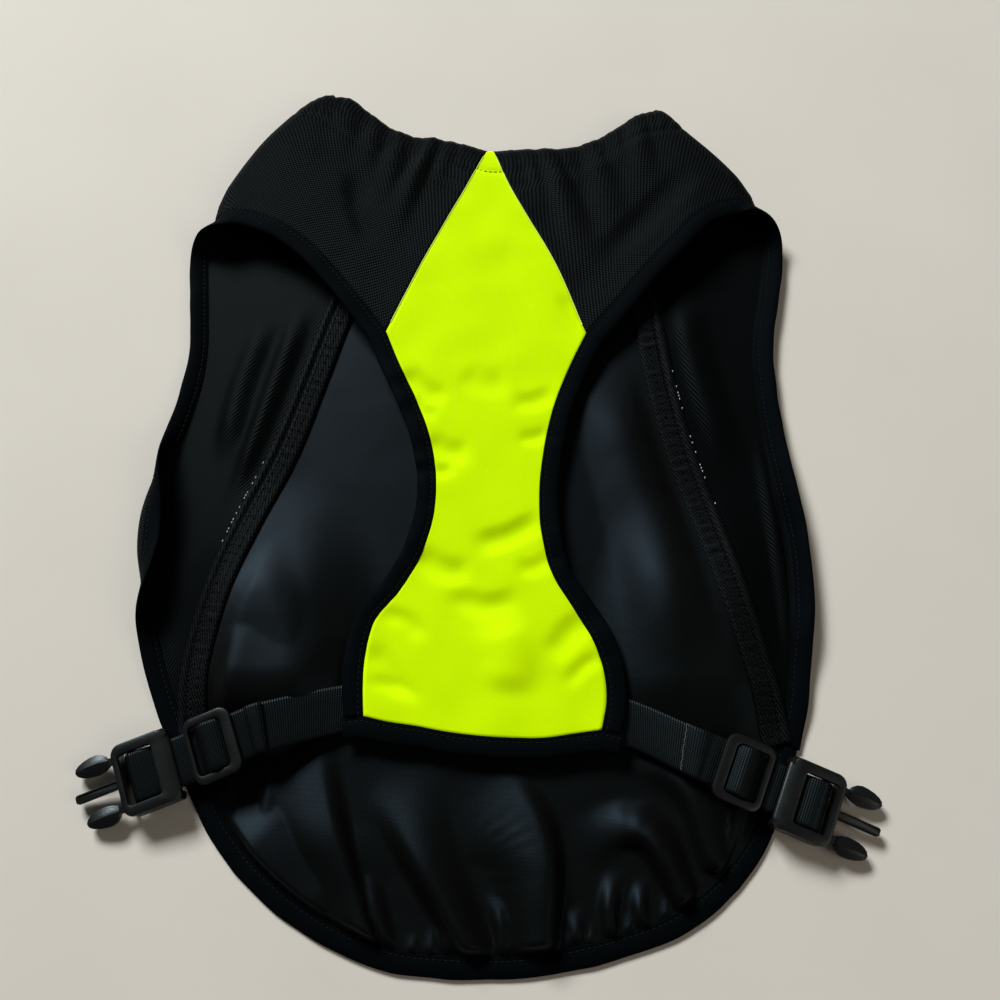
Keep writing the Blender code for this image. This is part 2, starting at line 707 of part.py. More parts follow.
BINDING_SECTION = [
    (SEAM_GAP, -BINDING_THICK / 2),
    (SEAM_GAP, BINDING_THICK / 2),
    (SEAM_GAP + BINDING_WIDTH - 1.6, BINDING_THICK / 2),
    (SEAM_GAP + BINDING_WIDTH, 0.0),
    (SEAM_GAP + BINDING_WIDTH - 1.6, -BINDING_THICK / 2),
]


def swept(name, origins, outward, upward, section, finish, parent, widths=None):
    """A solid strip: the section, carried along the origins, with its ends closed."""
    bm = bmesh.new()
    rings = []
    for i, origin in enumerate(origins):
        scale = 1.0 if widths is None else widths[i]
        ring = [bm.verts.new(origin + outward[i] * out * scale + upward[i] * up) for out, up in section]
        rings.append(ring)
    for before, after in zip(rings[:-1], rings[1:]):
        for k in range(len(section)):
            j = (k + 1) % len(section)
            bm.faces.new((before[k], before[j], after[j], after[k]))
    bm.faces.new(rings[0])
    bm.faces.new(rings[-1])
    return put(name, mesh_of(bm, name), finish, parent)


def smoothed(vectors, passes=5):
    """Directions along a strip, evened out so that neighbouring rings never cross."""
    for _ in range(passes):
        vectors[1:-1] = (vectors[:-2] + 2 * vectors[1:-1] + vectors[2:]) / 4
        vectors = vectors / np.linalg.norm(vectors, axis=1)[:, None]
    return vectors


def armhole_binding(side, parent):
    """The binding from the chest hem up over the shoulder and down the flank to the waist."""
    chest_cells, chest_inner = [], []
    arm_column = 0 if side.sign < 0 else CHEST_COLUMNS
    inward = 1 if side.sign < 0 else -1
    for row in range(CHEST_LOWER_ROWS):
        chest_cells.append((arm_column, row))
        chest_inner.append((arm_column + 0.3 * inward, row))
    mesh_cells, mesh_inner = [], []
    for column in range(ROLL_AT + SIDE_FRONT_COLUMNS, ROLL_AT, -1):
        mesh_cells.append((column, FOLD_ROWS))
        mesh_inner.append((column, FOLD_ROWS - 1))
    for row in range(FOLD_ROWS, SIDE_ROWS + 1):
        mesh_cells.append((ROLL_AT, row))
        mesh_inner.append((ROLL_AT - 1, row))
    mesh_inner[SIDE_FRONT_COLUMNS] = (ROLL_AT - 1, FOLD_ROWS - 1)
    chest = edge_frames(chest_surface(), chest_cells, chest_inner)
    mesh = edge_frames(side_surface(side), mesh_cells, mesh_inner)
    origins = np.concatenate([chest[0], mesh[0]])
    outward = smoothed(np.concatenate([chest[2], mesh[2]]))
    tangent = np.gradient(origins, axis=0)
    tangent = tangent / np.linalg.norm(tangent, axis=1)[:, None]
    outward = outward - (outward * tangent).sum(1)[:, None] * tangent
    outward = outward / np.linalg.norm(outward, axis=1)[:, None]
    upward = np.cross(outward, tangent)
    return swept(f"binding_armhole_{side.name}", origins, outward, upward, BINDING_SECTION, binding_black(), parent)


def flat_binding(name, line, heights, parent, widths=None):
    """A binding along an edge that lies level, with the free side to the line's right."""
    step = np.gradient(line, axis=0)
    step = step / np.linalg.norm(step, axis=1)[:, None]
    outward = np.column_stack([step[:, 1], -step[:, 0], np.zeros(len(line))])
    upward = np.tile([0.0, 0.0, 1.0], (len(line), 1))
    origins = np.column_stack([line, heights])
    return swept(name, origins, outward, upward, BINDING_SECTION, binding_black(), parent, widths)


def chest_hem_binding(parent):
    """The binding across the chest hem, which runs on under the ends of the armhole bindings."""
    hem = smooth_curve(CHEST_HEM, 15)
    run_on = BINDING_WIDTH + SEAM_GAP
    start = hem[0] + (-run_on, -1.2)
    end = hem[-1] + (run_on, -2.6)
    line = np.concatenate([[start, (start + hem[0]) / 2], hem, [(end + hem[-1]) / 2, end]])
    widths = np.ones(len(line))
    widths[[0, -1]] = 0.72
    heights = front_height(line[:, 0], line[:, 1])
    return flat_binding("binding_chest_hem", line, heights, parent, widths)


def tail_binding(parent):
    """The elastic binding round the tail, waist to waist."""
    left, right = smooth_curve(TAIL_LEFT, 12)[1:], smooth_curve(TAIL_RIGHT, 12)[1:]
    line = np.concatenate([left, smooth_curve(TAIL_BOTTOM, 40)[1:-1], right[::-1]])
    return flat_binding("binding_tail", line, back_height(line[:, 0], line[:, 1]), parent)


def seam_strip(side, parent):
    """The overlocked seam allowance of a back seam, stitched down along both of its edges."""
    line = side_rows(side)[2][6:-1]
    step = np.gradient(line, axis=0)
    step = step / np.linalg.norm(step, axis=1)[:, None]
    outward = np.column_stack([-step[:, 1], step[:, 0], np.zeros(len(line))])
    taper = np.linspace(1.0, 0.6, len(line)) ** 1.5
    bm = bmesh.new()
    shares = [-0.5, -0.25, 0.0, 0.25, 0.5]
    rings = []
    for i, point in enumerate(line):
        places = [point + outward[i, :2] * share * SEAM_STRIP_WIDTH * taper[i] for share in shares]
        heights = [float(back_height(place[0], place[1])) + CLOTH / 2 for place in places]
        low = [
            bm.verts.new((place[0], place[1], height + side.seam_lift))
            for place, height in zip(places, heights)
        ]
        high = [
            bm.verts.new((place[0], place[1], height + side.seam_lift + SEAM_STRIP_THICK))
            for place, height in zip(places, heights)
        ]
        rings.append(low + high[::-1])
    for before, after in zip(rings[:-1], rings[1:]):
        for k in range(len(before)):
            j = (k + 1) % len(before)
            bm.faces.new((before[k], before[j], after[j], after[k]))
    bm.faces.new(rings[0])
    bm.faces.new(rings[-1])
    name = f"seam_strip_{side.name}"
    return put(name, mesh_of(bm, name), lining_black(), parent)


def posed(x, y, z, yaw, pitch):
    """A pose on the table: X points out along the strap, and pitch lowers the outer end."""
    turn = Matrix.Rotation(math.radians(yaw), 4, "Z") @ Matrix.Rotation(math.radians(pitch), 4, "Y")
    return Matrix.Translation((x, y, z)) @ turn


# The strap's base layer through the slider and into the buckle, along and above each one's middle
LOOP_RADIUS = PLUG_BAR_RADIUS + LAYER_GAP + WEBBING_THICK / 2
SLIDER_RUN = [
    (-27.0, -2.8),
    (-19.0, -2.9),
    (-10.8, -3.1),
    (-6.4, -2.0),
    (-3.4, 1.0),
    (0.0, 2.3),
    (3.4, 1.0),
    (6.4, -2.0),
    (10.8, -3.1),
]
PLUG_RUN = [(-19.0, -2.8), (-13.0, -2.6), (-7.0, -2.6), (PLUG_BAR_AT, -LOOP_RADIUS)]
PLUG_RETURN = [(-4.6, 1.6), (-8.2, 0.2), (-12.0, -0.7)]
LOOP_ANGLES = (-68, -45, -20, 5, 30, 55, 80, 105)
STEPS_BETWEEN = 3


def through(points, steps):
    """Points along a smooth curve through control points, with so many steps between each two."""
    points = [points[0] * 2 - points[1], *points, points[-1] * 2 - points[-2]]
    made = []
    for a, b, c, d in zip(points, points[1:], points[2:], points[3:]):
        for step in range(steps):
            t = step / steps
            made.append(
                (b * 2 + (c - a) * t + (a * 2 - b * 5 + c * 4 - d) * t**2 + (b * 3 - a - c * 3 + d) * t**3) / 2
            )
    return [*made, points[-2]]


def ribbon(name, points, widths, parent):
    """Webbing carried along points, with its width along the given directions."""
    bm = bmesh.new()
    rings = []
    for i, point in enumerate(points):
        along = (points[min(i + 1, len(points) - 1)] - points[max(i - 1, 0)]).normalized()
        half = widths[i] * (WEBBING_WIDTH / 2)
        thick = along.cross(widths[i]).normalized() * (WEBBING_THICK / 2)
        corners = (point - half - thick, point + half - thick, point + half + thick, point - half + thick)
        rings.append([bm.verts.new(corner) for corner in corners])
    for before, after in zip(rings[:-1], rings[1:]):
        for k in range(4):
            j = (k + 1) % 4
            bm.faces.new((before[k], before[j], after[j], after[k]))
    bm.faces.new(rings[0])
    bm.faces.new(rings[-1])
    return put(name, mesh_of(bm, name), webbing_black(), parent)


def strap(side, parent):
    """Webbing from the chest corner through the slider, round the buckle's bar, and doubled back."""
    slider_pose, plug_pose = posed(*side.slider), posed(*side.plug)
    start = Vector(side.strap_start)
    leave = Vector((side.sign, 0, 0))
    chest_width = Vector((0, 1, 0))
    slider_width = (slider_pose.to_3x3() @ Vector((0, 1, 0))) * side.sign
    plug_width = (plug_pose.to_3x3() @ Vector((0, 1, 0))) * side.sign
    places = [start, start + leave * 12.0]
    widths = [chest_width, chest_width]
    places += [slider_pose @ Vector((x, 0, z)) for x, z in SLIDER_RUN]
    widths += [chest_width.lerp(slider_width, 0.6)] + [slider_width] * (len(SLIDER_RUN) - 1)
    places += [plug_pose @ Vector((x, 0, z)) for x, z in PLUG_RUN]
    widths += [plug_width] * len(PLUG_RUN)
    base = through(places, STEPS_BETWEEN)
    base_width = [width.normalized() for width in through(widths, STEPS_BETWEEN)]

    bar = Vector((PLUG_BAR_AT, 0, 0))
    loop = []
    for angle in LOOP_ANGLES:
        turn = math.radians(angle)
        loop.append(plug_pose @ (bar + LOOP_RADIUS * Vector((math.cos(turn), 0, math.sin(turn)))))
    back = [plug_pose @ Vector((x, 0, z)) for x, z in PLUG_RETURN]
    second, second_width = [], []
    middle = slider_pose @ Vector((0, 0, 0))
    joins = len(base) - 1 - 2 * STEPS_BETWEEN
    for i in range(1, joins):
        if (base[i] - middle).dot(slider_pose.to_3x3() @ Vector((1, 0, 0))) < -side.free_end:
            continue
        along = (base[i + 1] - base[i - 1]).normalized()
        up = base_width[i].cross(along).normalized() * -side.sign
        up = up if up.z > 0 else -up
        second.append(base[i] + up * (WEBBING_THICK + LAYER_GAP))
        second_width.append(base_width[i])
    points = base + loop + back + second[::-1]
    widths = base_width + [plug_width] * (len(loop) + len(back)) + second_width[::-1]
    return ribbon(f"strap_{side.name}", points, widths, parent)


def rounded_block(length, width, low, high, radius, corners=5):
    """A block along X with rounded corners in plan, from low to high."""
    bm = bmesh.new()
    ring = []
    for cx, cy, start in ((1, 1, 0), (-1, 1, 90), (-1, -1, 180), (1, -1, 270)):
        for step in range(corners):
            angle = math.radians(start + 90.0 * step / (corners - 1))
            x = cx * (length / 2 - radius) + radius * math.cos(angle)
            y = cy * (width / 2 - radius) + radius * math.sin(angle)
            ring.append(bm.verts.new((x, y, low)))
    base = bm.faces.new(ring)
    grown = bmesh.ops.extrude_face_region(bm, geom=[base])["geom"]
    top = [v for v in grown if isinstance(v, bmesh.types.BMVert)]
    bmesh.ops.translate(bm, verts=top, vec=(0, 0, high - low))
    bmesh.ops.recalc_face_normals(bm, faces=bm.faces)
    return bm


def soften(bm, width, keep=None):
    """Bevels the sharp edges that keep lets through."""
    sharp = [e for e in bm.edges if e.calc_face_angle(0.0) > math.radians(50) and (keep is None or keep(e))]
    bmesh.ops.bevel(bm, geom=sharp, offset=width, segments=1, profile=0.5, affect="EDGES", material=-1)
    return bm


def prism(outline, low, high):
    """A plan outline raised from low to high."""
    bm = bmesh.new()
    base = bm.faces.new([bm.verts.new((x, y, low)) for x, y in outline])
    grown = bmesh.ops.extrude_face_region(bm, geom=[base])["geom"]
    top = [v for v in grown if isinstance(v, bmesh.types.BMVert)]
    bmesh.ops.translate(bm, verts=top, vec=(0, 0, high - low))
    bmesh.ops.recalc_face_normals(bm, faces=bm.faces)
    return bm


def shifted(bm, x=0.0, y=0.0, z=0.0):
    bmesh.ops.translate(bm, verts=bm.verts, vec=(x, y, z))
    return bm


def crossbar(radius, width, x, z, sides=10):
    """A round bar across the strap's width."""
    bm = bmesh.new()
    bmesh.ops.create_cone(bm, cap_ends=True, segments=sides, radius1=radius, radius2=radius, depth=width)
    bmesh.ops.rotate(bm, verts=bm.verts, matrix=Matrix.Rotation(math.pi / 2, 3, "X"))
    return shifted(bm, x, 0.0, z)


def join_cut(name, body, added, removed, finish, parent, frame):
    """One plastic moulding: the body with pieces joined on and openings cut out."""
    body_mesh = mesh_of(body, name)
    body_mesh.transform(frame)
    obj = put(name, body_mesh, finish, parent)
    for operation, pieces in (("DIFFERENCE", removed), ("UNION", added)):
        for index, piece in enumerate(pieces):
            helper_mesh = mesh_of(piece, f"{name}_{operation.lower()}_{index}")
            helper_mesh.transform(frame)
            helper = put(helper_mesh.name, helper_mesh, finish, parent)
            helper.hide_render = True
            helper.display_type = "WIRE"
            change = obj.modifiers.new(f"{operation.lower()}_{index}", "BOOLEAN")
            change.operation = operation
            change.solver = "EXACT"
            change.object = helper
    return obj


def slider(side, parent):
    """The flat three-bar slider that the webbing weaves through."""
    body = soften(rounded_block(SLIDER_LENGTH, SLIDER_WIDTH, 0.0, SLIDER_THICK, 4.0), 0.6)
    window = rounded_block(
        SLIDER_LENGTH - 2 * SLIDER_SIDE_RAIL, SLIDER_WIDTH - 2 * SLIDER_END_RAIL, -2.0, SLIDER_THICK + 2.0, 0.5, 3
    )
    bar = rounded_block(SLIDER_BAR, SLIDER_WIDTH - SLIDER_END_RAIL, -0.9, 1.1, 0.6, 2)
    return join_cut(f"slider_{side.name}", body, [bar], [window], plastic_black(), parent, posed(*side.slider))


PRONG_HEAD = [
    (0, 1.5),
    (3, 2.2),
    (5, 4.4),
    (8, 6.0),
    (12, 5.8),
    (16, 3.8),
    (20, 1.0),
    (22, -0.8),
    (20, -2.6),
    (15, -3.4),
    (9, -3.0),
    (5, -2.0),
    (3, -1.4),
    (0, -1.4),
]
PRONG_SPREAD = 12.4
PRONG_HALF_THICK = 2.0
GUIDE_LENGTH = 23.0
GUIDE_HALF_WIDTH = 2.3


def buckle(side, parent):
    """The pronged half of the buckle: an open frame with a hood and a bar, two sprung arms and a guide."""
    half = PLUG_THICK / 2
    body = soften(rounded_block(PLUG_LENGTH, PLUG_WIDTH, -half, half, 4.5), 1.1)
    window_width = PLUG_WIDTH - 2 * PLUG_WALL
    window_from = PLUG_HOOD - PLUG_LENGTH / 2
    window_to = PLUG_LENGTH / 2 - PLUG_FRONT
    window = rounded_block(window_to - window_from, window_width, -half - 2, half + 2, 0.6, 3)
    mouth = rounded_block(PLUG_HOOD + 6.0, window_width - 0.8, -half - 2, half - PLUG_HOOD_THICK, 0.6, 2)
    removed = [shifted(window, (window_from + window_to) / 2), shifted(mouth, window_from - PLUG_HOOD / 2)]
    front = PLUG_LENGTH / 2 - 1.5
    guide = [
        (0, -GUIDE_HALF_WIDTH),
        (GUIDE_LENGTH - 1, -GUIDE_HALF_WIDTH),
        (GUIDE_LENGTH, -GUIDE_HALF_WIDTH + 1),
        (GUIDE_LENGTH, GUIDE_HALF_WIDTH - 1),
        (GUIDE_LENGTH - 1, GUIDE_HALF_WIDTH),
        (0, GUIDE_HALF_WIDTH),
    ]
    added = [crossbar(PLUG_BAR_RADIUS, PLUG_WIDTH - PLUG_WALL, PLUG_BAR_AT, 0.0)]
    added.append(shifted(prism(guide, -1.5, 1.5), front))
    for way in (-1, 1):
        outline = [(x, way * (PRONG_SPREAD + y)) for x, y in PRONG_HEAD]
        added.append(shifted(prism(outline, -PRONG_HALF_THICK, PRONG_HALF_THICK), front))
    return join_cut(f"buckle_{side.name}", body, added, removed, plastic_black(), parent, posed(*side.plug))


SOCKET_BAR = 3.4
SOCKET_SLOT = 5.0
SOCKET_RELIEF = 3.2
CAVITY_LENGTH = 19.0


def socket_frame(side):
    """The socket lies on the table, its mouth to the vest's outer side."""
    turn = Matrix.Rotation(math.pi if side.sign < 0 else 0.0, 4, "Z")
    return Matrix.Translation((side.socket[0], side.socket[1], 0.0)) @ turn


def socket(side, parent):
    """The socket half of the buckle: a flat sleeve with side windows and a bar for its webbing."""
    body = soften(rounded_block(SOCKET_LENGTH, SOCKET_WIDTH, 0.0, SOCKET_THICK, 4.0), 1.0)
    wall = SOCKET_WALL
    mouth = shifted(
        rounded_block(CAVITY_LENGTH + 3.0, SOCKET_WIDTH - 7.0, wall, SOCKET_THICK - wall, 0.8, 2),
        SOCKET_LENGTH / 2 - CAVITY_LENGTH / 2 + 1.5,
    )
    windows = shifted(
        rounded_block(10.0, SOCKET_WIDTH + 4.0, wall + 0.4, SOCKET_THICK - wall - 0.4, 1.0, 2), 4.0
    )
    slot_at = -SOCKET_LENGTH / 2 + SOCKET_BAR + SOCKET_SLOT / 2
    across = WEBBING_WIDTH + 2.0
    slot = shifted(rounded_block(SOCKET_SLOT, across, -2.0, SOCKET_THICK + 2.0, 0.4, 2), slot_at)
    above = rounded_block(2 * SOCKET_BAR, across, SOCKET_THICK - SOCKET_RELIEF, SOCKET_THICK + 2.0, 0.4, 2)
    below = rounded_block(2 * SOCKET_BAR, across, -2.0, SOCKET_RELIEF, 0.4, 2)
    relieved = [shifted(above, -SOCKET_LENGTH / 2), shifted(below, -SOCKET_LENGTH / 2)]
    return join_cut(
        f"socket_{side.name}",
        body,
        [],
        [mouth, windows, slot, *relieved],
        plastic_black(),
        parent,
        socket_frame(side),
    )


TAB_LENGTH = 15.0
TAB_STEPS = 8
TAB_DIP = 1.2
TAB_HUMP = 0.4


def socket_tab(side, parent):
    """The webbing loop that holds the socket: round its bar, then sewn to the back panel."""
    frame = socket_frame(side)
    bar_at = -SOCKET_LENGTH / 2 + SOCKET_BAR / 2
    clear = LAYER_GAP + WEBBING_THICK / 2
    reach = SOCKET_BAR / 2 + clear
    bar_top, bar_bottom = SOCKET_THICK - SOCKET_RELIEF, SOCKET_RELIEF
    over, under = bar_top + clear, bar_bottom - clear
    wrap = [
        (bar_at, over),
        (bar_at + reach * 0.75, over - 0.2),
        (bar_at + reach, bar_top - 0.4),
        (bar_at + reach, bar_bottom + 0.4),
        (bar_at + reach * 0.75, under + 0.2),
        (bar_at, under),
    ]
    upper, lower = [], []
    for share in np.linspace(1.0, 0.0, TAB_STEPS)[:-1]:
        x = bar_at - share * TAB_LENGTH
        spot = frame @ Vector((x, 0, 0))
        lowest = min(float(back_height(spot.x, spot.y + y)) for y in (-WEBBING_WIDTH / 2, 0.0, WEBBING_WIDTH / 2))
        under_cloth = lowest - CLOTH / 2 - LAYER_GAP - WEBBING_THICK / 2 - TAB_DIP * share
        high = min(under_cloth, over + TAB_HUMP)
        upper.append((x, high))
        lower.append((x, min(high - WEBBING_THICK - LAYER_GAP, under)))
    points = [frame @ Vector((x, 0, z)) for x, z in upper + wrap + lower[::-1]]
    cross = frame.to_3x3() @ Vector((0, 1, 0))
    return ribbon(f"socket_tab_{side.name}", points, [cross] * len(points), parent)


def build():
    for obj in list(bpy.data.objects):
        bpy.data.objects.remove(obj, do_unlink=True)
    vest = bpy.data.objects.new("vest", None)
    vest.location = (FOOTPRINT_SHIFT[0] * MM, FOOTPRINT_SHIFT[1] * MM, 0.0)
    bpy.context.scene.collection.objects.link(vest)
    back_panel(vest)
    chest_panel(vest)
    chest_hem_binding(vest)
    tail_binding(vest)
    for side in (left_side(), right_side()):
        side_panel(side, vest)
        armhole_binding(side, vest)
        seam_strip(side, vest)
        strap(side, vest)
        slider(side, vest)
        buckle(side, vest)
        socket(side, vest)
        socket_tab(side, vest)


build()
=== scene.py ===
"""A dog's cooling vest, laid flat on a pale table with its chest side up.

The vest is a tube of cloth, put together here in the order in which it is sewn: the back panel, the
two mesh sides that roll over at the shoulders, the chest panel, the bindings, the stitched seams, and
then the straps with their sliders and buckles. Lengths in the tables are in millimetres.
"""

import math
import random
from collections import namedtuple

import bmesh
import bpy
import numpy as np
from mathutils import Matrix, Vector, noise


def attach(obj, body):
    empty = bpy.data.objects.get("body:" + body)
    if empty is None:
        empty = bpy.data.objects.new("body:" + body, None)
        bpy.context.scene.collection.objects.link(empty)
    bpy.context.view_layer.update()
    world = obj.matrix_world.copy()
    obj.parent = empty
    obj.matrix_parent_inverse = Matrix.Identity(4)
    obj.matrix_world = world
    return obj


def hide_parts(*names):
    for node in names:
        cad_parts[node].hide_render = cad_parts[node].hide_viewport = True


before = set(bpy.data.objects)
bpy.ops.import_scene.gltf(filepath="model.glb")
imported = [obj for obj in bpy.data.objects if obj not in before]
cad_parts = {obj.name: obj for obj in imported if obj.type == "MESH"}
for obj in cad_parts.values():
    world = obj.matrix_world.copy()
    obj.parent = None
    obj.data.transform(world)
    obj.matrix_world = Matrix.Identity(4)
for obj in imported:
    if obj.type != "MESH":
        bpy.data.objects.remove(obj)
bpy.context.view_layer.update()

# THE BACK PANEL
# One large piece of smooth lining along the spine, which lies on the table. The elastic in the tail
# binding gathers its rounded end, and it rises over the two buckle sockets that are sewn under it.

# A fold's line bends through three points. It leans if it is steeper on one side
Fold = namedtuple("Fold", "x0 y0 x1 y1 x2 y2 width height lean", defaults=(0.0,))

FOOTPRINT_SHIFT = (2.64, 3.65)
CLOTH = 2.0
CLOTH_SHOWN = 1.5
BINDING_WIDTH = 10.0
BINDING_THICK = 3.0
BACK_REST = CLOTH / 2
EDGE_LIFT = (BINDING_THICK - CLOTH) / 2
EDGE_LIFT_REACH = 20.0

# Where each side turns up, neck to waist: a point, the degrees it rolls through, and the radius
CREASE_LEFT = [
    (-94, 248, 180, 5.0), (-106, 240, 180, 5.5), (-118, 227, 180, 6.0), (-139, 198, 180, 6.0),
    (-150, 177, 180, 6.0), (-156, 164, 180, 6.0), (-159, 157, 120, 6.0), (-162, 149, 60, 6.0),
    (-164, 139, 30, 6.0), (-161, 104, 26, 6.0), (-159, 76, 24, 6.0), (-162, 42, 30, 6.0),
    (-169, 12, 60, 5.5), (-177, -8, 130, 5.0), (-181, -26, 172, 5.0), (-181, -44, 172, 5.0),
    (-176, -64, 124, 5.5), (-170, -87, 46, 6.0), (-164, -110, 22, 6.0), (-156, -132, 12, 6.0),
    (-148.4, -148, 3, 6.0),
]
CREASE_RIGHT = [
    (104, 236, 180, 5.0), (110, 230, 180, 5.5), (120, 217, 180, 6.0), (138, 197, 180, 6.0),
    (149, 183, 180, 6.0), (156, 173, 180, 6.0), (161, 166, 120, 6.0), (165, 157, 60, 6.0),
    (166.5, 144, 30, 6.0), (162, 114, 26, 6.0), (155, 76, 24, 6.0), (155, 52, 24, 6.0),
    (156, 30, 26, 6.0), (158, 6, 34, 6.0), (160, -14, 40, 6.0), (163, -36, 44, 6.0),
    (164, -56, 42, 6.0), (163, -80, 32, 6.0), (160, -102, 22, 6.0), (157, -127, 12, 6.0),
    (151.9, -149, 3, 6.0),
]
CORNER_ROW = 5

SEAM_LEFT = [
    (-38, 214), (-62, 158), (-83, 108), (-98, 58), (-110, 18), (-128, -28), (-143, -75), (-150, -118),
    (-147.5, -148),
]
SEAM_RIGHT = [
    (50, 213), (76, 152), (95, 98), (101, 58), (108, 22), (124, -36), (138, -90), (147, -126),
    (151, -149),
]
NECK_BACK = [(-38, 214), (-15, 209), (6, 207), (28, 208), (50, 213)]
TAIL_LEFT = [(-147.5, -148), (-143.5, -159), (-137, -172), (-127, -189), (-115, -204)]
TAIL_BOTTOM = [
    (-115, -204), (-104, -214), (-88, -226), (-68, -237), (-43, -246), (-15, -249), (18, -249),
    (45, -245), (70, -239), (92, -231), (108, -221), (119, -212),
]
TAIL_RIGHT = [(151, -149), (148, -161), (141.5, -177), (132, -196), (119, -212)]

# Folds that end gathered in the tail binding, and folds that fade out at both ends
TAIL_FOLDS = [
    (-104, -150, -108, -180, -110, -212, 11, 4.0, 0.3), (-97, -176, -89, -206, -78, -235, 10, 5.0, 0.4),
    (-90, -138, -74, -188, -53, -242, 27, 10.0, -0.62), (-64, -202, -52, -228, -44, -247, 8, 5.0, 0.2),
    (-52, -164, -31, -204, -3, -252, 19, 9.5, 0.35), (-24, -212, -18, -232, -16, -249, 7, 4.0, 0.2),
    (2, -156, 29, -192, 31, -251, 27, 11.0, -0.55), (6, -216, 10, -236, 11, -250, 7, 4.5),
    (47, -206, 76, -192, 101, -230, 14, 9.0, 0.35), (68, -208, 62, -226, 63, -242, 7, 5.0),
    (80, -212, 77, -226, 79, -239, 6, 4.5), (72, -150, 100, -168, 113, -206, 18, 7.5, 0.4),
    (44, -226, 46, -238, 46, -247, 6, 3.5), (126, -162, 126, -180, 120, -203, 9, 2.5),
    (-130, -158, -130, -174, -124, -192, 8, 2.0),
]
FLANK_FOLDS = [
    (-126, 106, -142, 46, -147, 4, 9, 3.4, 0.2), (-104, 116, -121, 53, -140, -30, 10, 4.6, 0.3),
    (-92, 100, -110, 44, -130, -14, 5, 2.2), (114, 116, 122, 60, 138, 2, 12, 3.8, 0.3),
    (154, 26, 160, -45, 162, -122, 5, 2.8, -0.2), (-124, -40, -108, -88, -84, -140, 27, 2.8, -0.3),
    (-148, -116, -118, -124, -80, -138, 36, 5.0, 0.5), (-134, -184, -104, -210, -58, -238, 30, 7.0, 0.5),
    (66, 70, 90, -30, 104, -118, 26, 5.0),
]
# Short puckers of the tail's elastic: their place along X, length and height
TAIL_PUCKERS = [
    (-96, 14, 1.6), (-89, 10, 2.0), (-81, 18, 2.4), (-74, 12, 1.8), (-66, 16, 2.2), (-58, 10, 1.8),
    (-51, 13, 2.4), (-43, 16, 2.0), (-33, 10, 1.8), (-24, 14, 2.2), (-15, 11, 2.0), (-5, 16, 2.6),
    (4, 10, 1.6), (14, 12, 1.8), (25, 16, 2.4), (34, 11, 2.2), (42, 13, 2.0), (53, 10, 1.6),
    (63, 17, 2.2), (72, 11, 1.8), (80, 14, 2.2), (90, 12, 2.0), (99, 15, 2.0),
]
PUCKER_WIDTH = 2.9
PUCKER_PEAK = 0.22
PUCKERS_BELOW = -190.0
TAIL_FLAT = 5.0
FOLD_WANDER, WANDER_SIZE = 0.15, 30.0
SOFT_HEIGHT, SOFT_SIZE = 0.45, 40.0
FINE_HEIGHT, FINE_SIZE = 0.06, 12.0
SEAM_STIFF_FROM, SEAM_STIFF_TO = 8.0, 20.0
SOCKETS = [(-115.0, -97.0, -1), (116.0, -101.0, 1)]
SOCKET_HALF = (12.0, 13.5)
SOCKET_RISE = 10.6
RAMP_OUTER, RAMP_INNER, RAMP_WAIST, RAMP_NECK = 36.0, 50.0, 40.0, 84.0


def smoothstep(low, high, value):
    share = np.clip((value - low) / (high - low), 0.0, 1.0)
    return share * share * (3.0 - 2.0 * share)


def bell(value):
    return np.clip(1.0 - value * value, 0.0, None) ** 2


def run_along(points):
    """How far along a line each of its points lies."""
    return np.concatenate([[0.0], np.cumsum(np.linalg.norm(np.diff(points, axis=0), axis=1))])


def unit(vectors):
    return vectors / np.linalg.norm(vectors, axis=1)[:, None]


def softened(values, passes):
    for _ in range(passes):
        values[1:-1] = (values[:-2] + 2 * values[1:-1] + values[2:]) / 4
    return values


def smooth_curve(points, count):
    """So many points, evenly spaced, along a smooth curve through the rows of a table."""
    table = np.array(points, float)
    place = run_along(table[:, :2])
    slope = np.gradient(table, place, axis=0)
    where = np.linspace(0.0, place[-1], 600)
    i = np.clip(np.searchsorted(place, where, side="right") - 1, 0, len(place) - 2)
    span = place[i + 1] - place[i]
    t = ((where - place[i]) / span)[:, None]
    span = span[:, None]
    fine = (2 * t**3 - 3 * t**2 + 1) * table[i] + (t**3 - 2 * t**2 + t) * span * slope[i]
    fine = fine + (3 * t**2 - 2 * t**3) * table[i + 1] + (t**3 - t**2) * span * slope[i + 1]
    run = run_along(fine[:, :2])
    even = np.linspace(0.0, run[-1], count)
    return np.stack([np.interp(even, run, fine[:, k]) for k in range(fine.shape[1])], axis=1)


def point_on(curve, share):
    place = np.linspace(0.0, 1.0, len(curve))
    return np.stack([np.interp(share, place, curve[:, k]) for k in range(curve.shape[1])], axis=-1)


def nearest(x, y, line):
    """Distance to a line on its left or right, and how far along it the nearest point lies."""
    points = np.stack([np.ravel(x), np.ravel(y)], axis=1)
    best = np.full(len(points), 1e9)
    along, hand = np.zeros(len(points)), np.ones(len(points))
    run = 0.0
    for a, b in zip(line[:-1], line[1:]):
        step = b - a
        length = np.linalg.norm(step)
        away = points - a
        share = np.clip((away @ step) / max(length * length, 1e-9), 0.0, 1.0)
        gap = np.linalg.norm(away - share[:, None] * step, axis=1)
        closer = gap < best
        best = np.where(closer, gap, best)
        along = np.where(closer, run + share * length, along)
        hand = np.where(closer, np.sign(step[0] * away[:, 1] - step[1] * away[:, 0]), hand)
        run += length
    shape = np.shape(x)
    return best.reshape(shape), along.reshape(shape) / run, hand.reshape(shape)


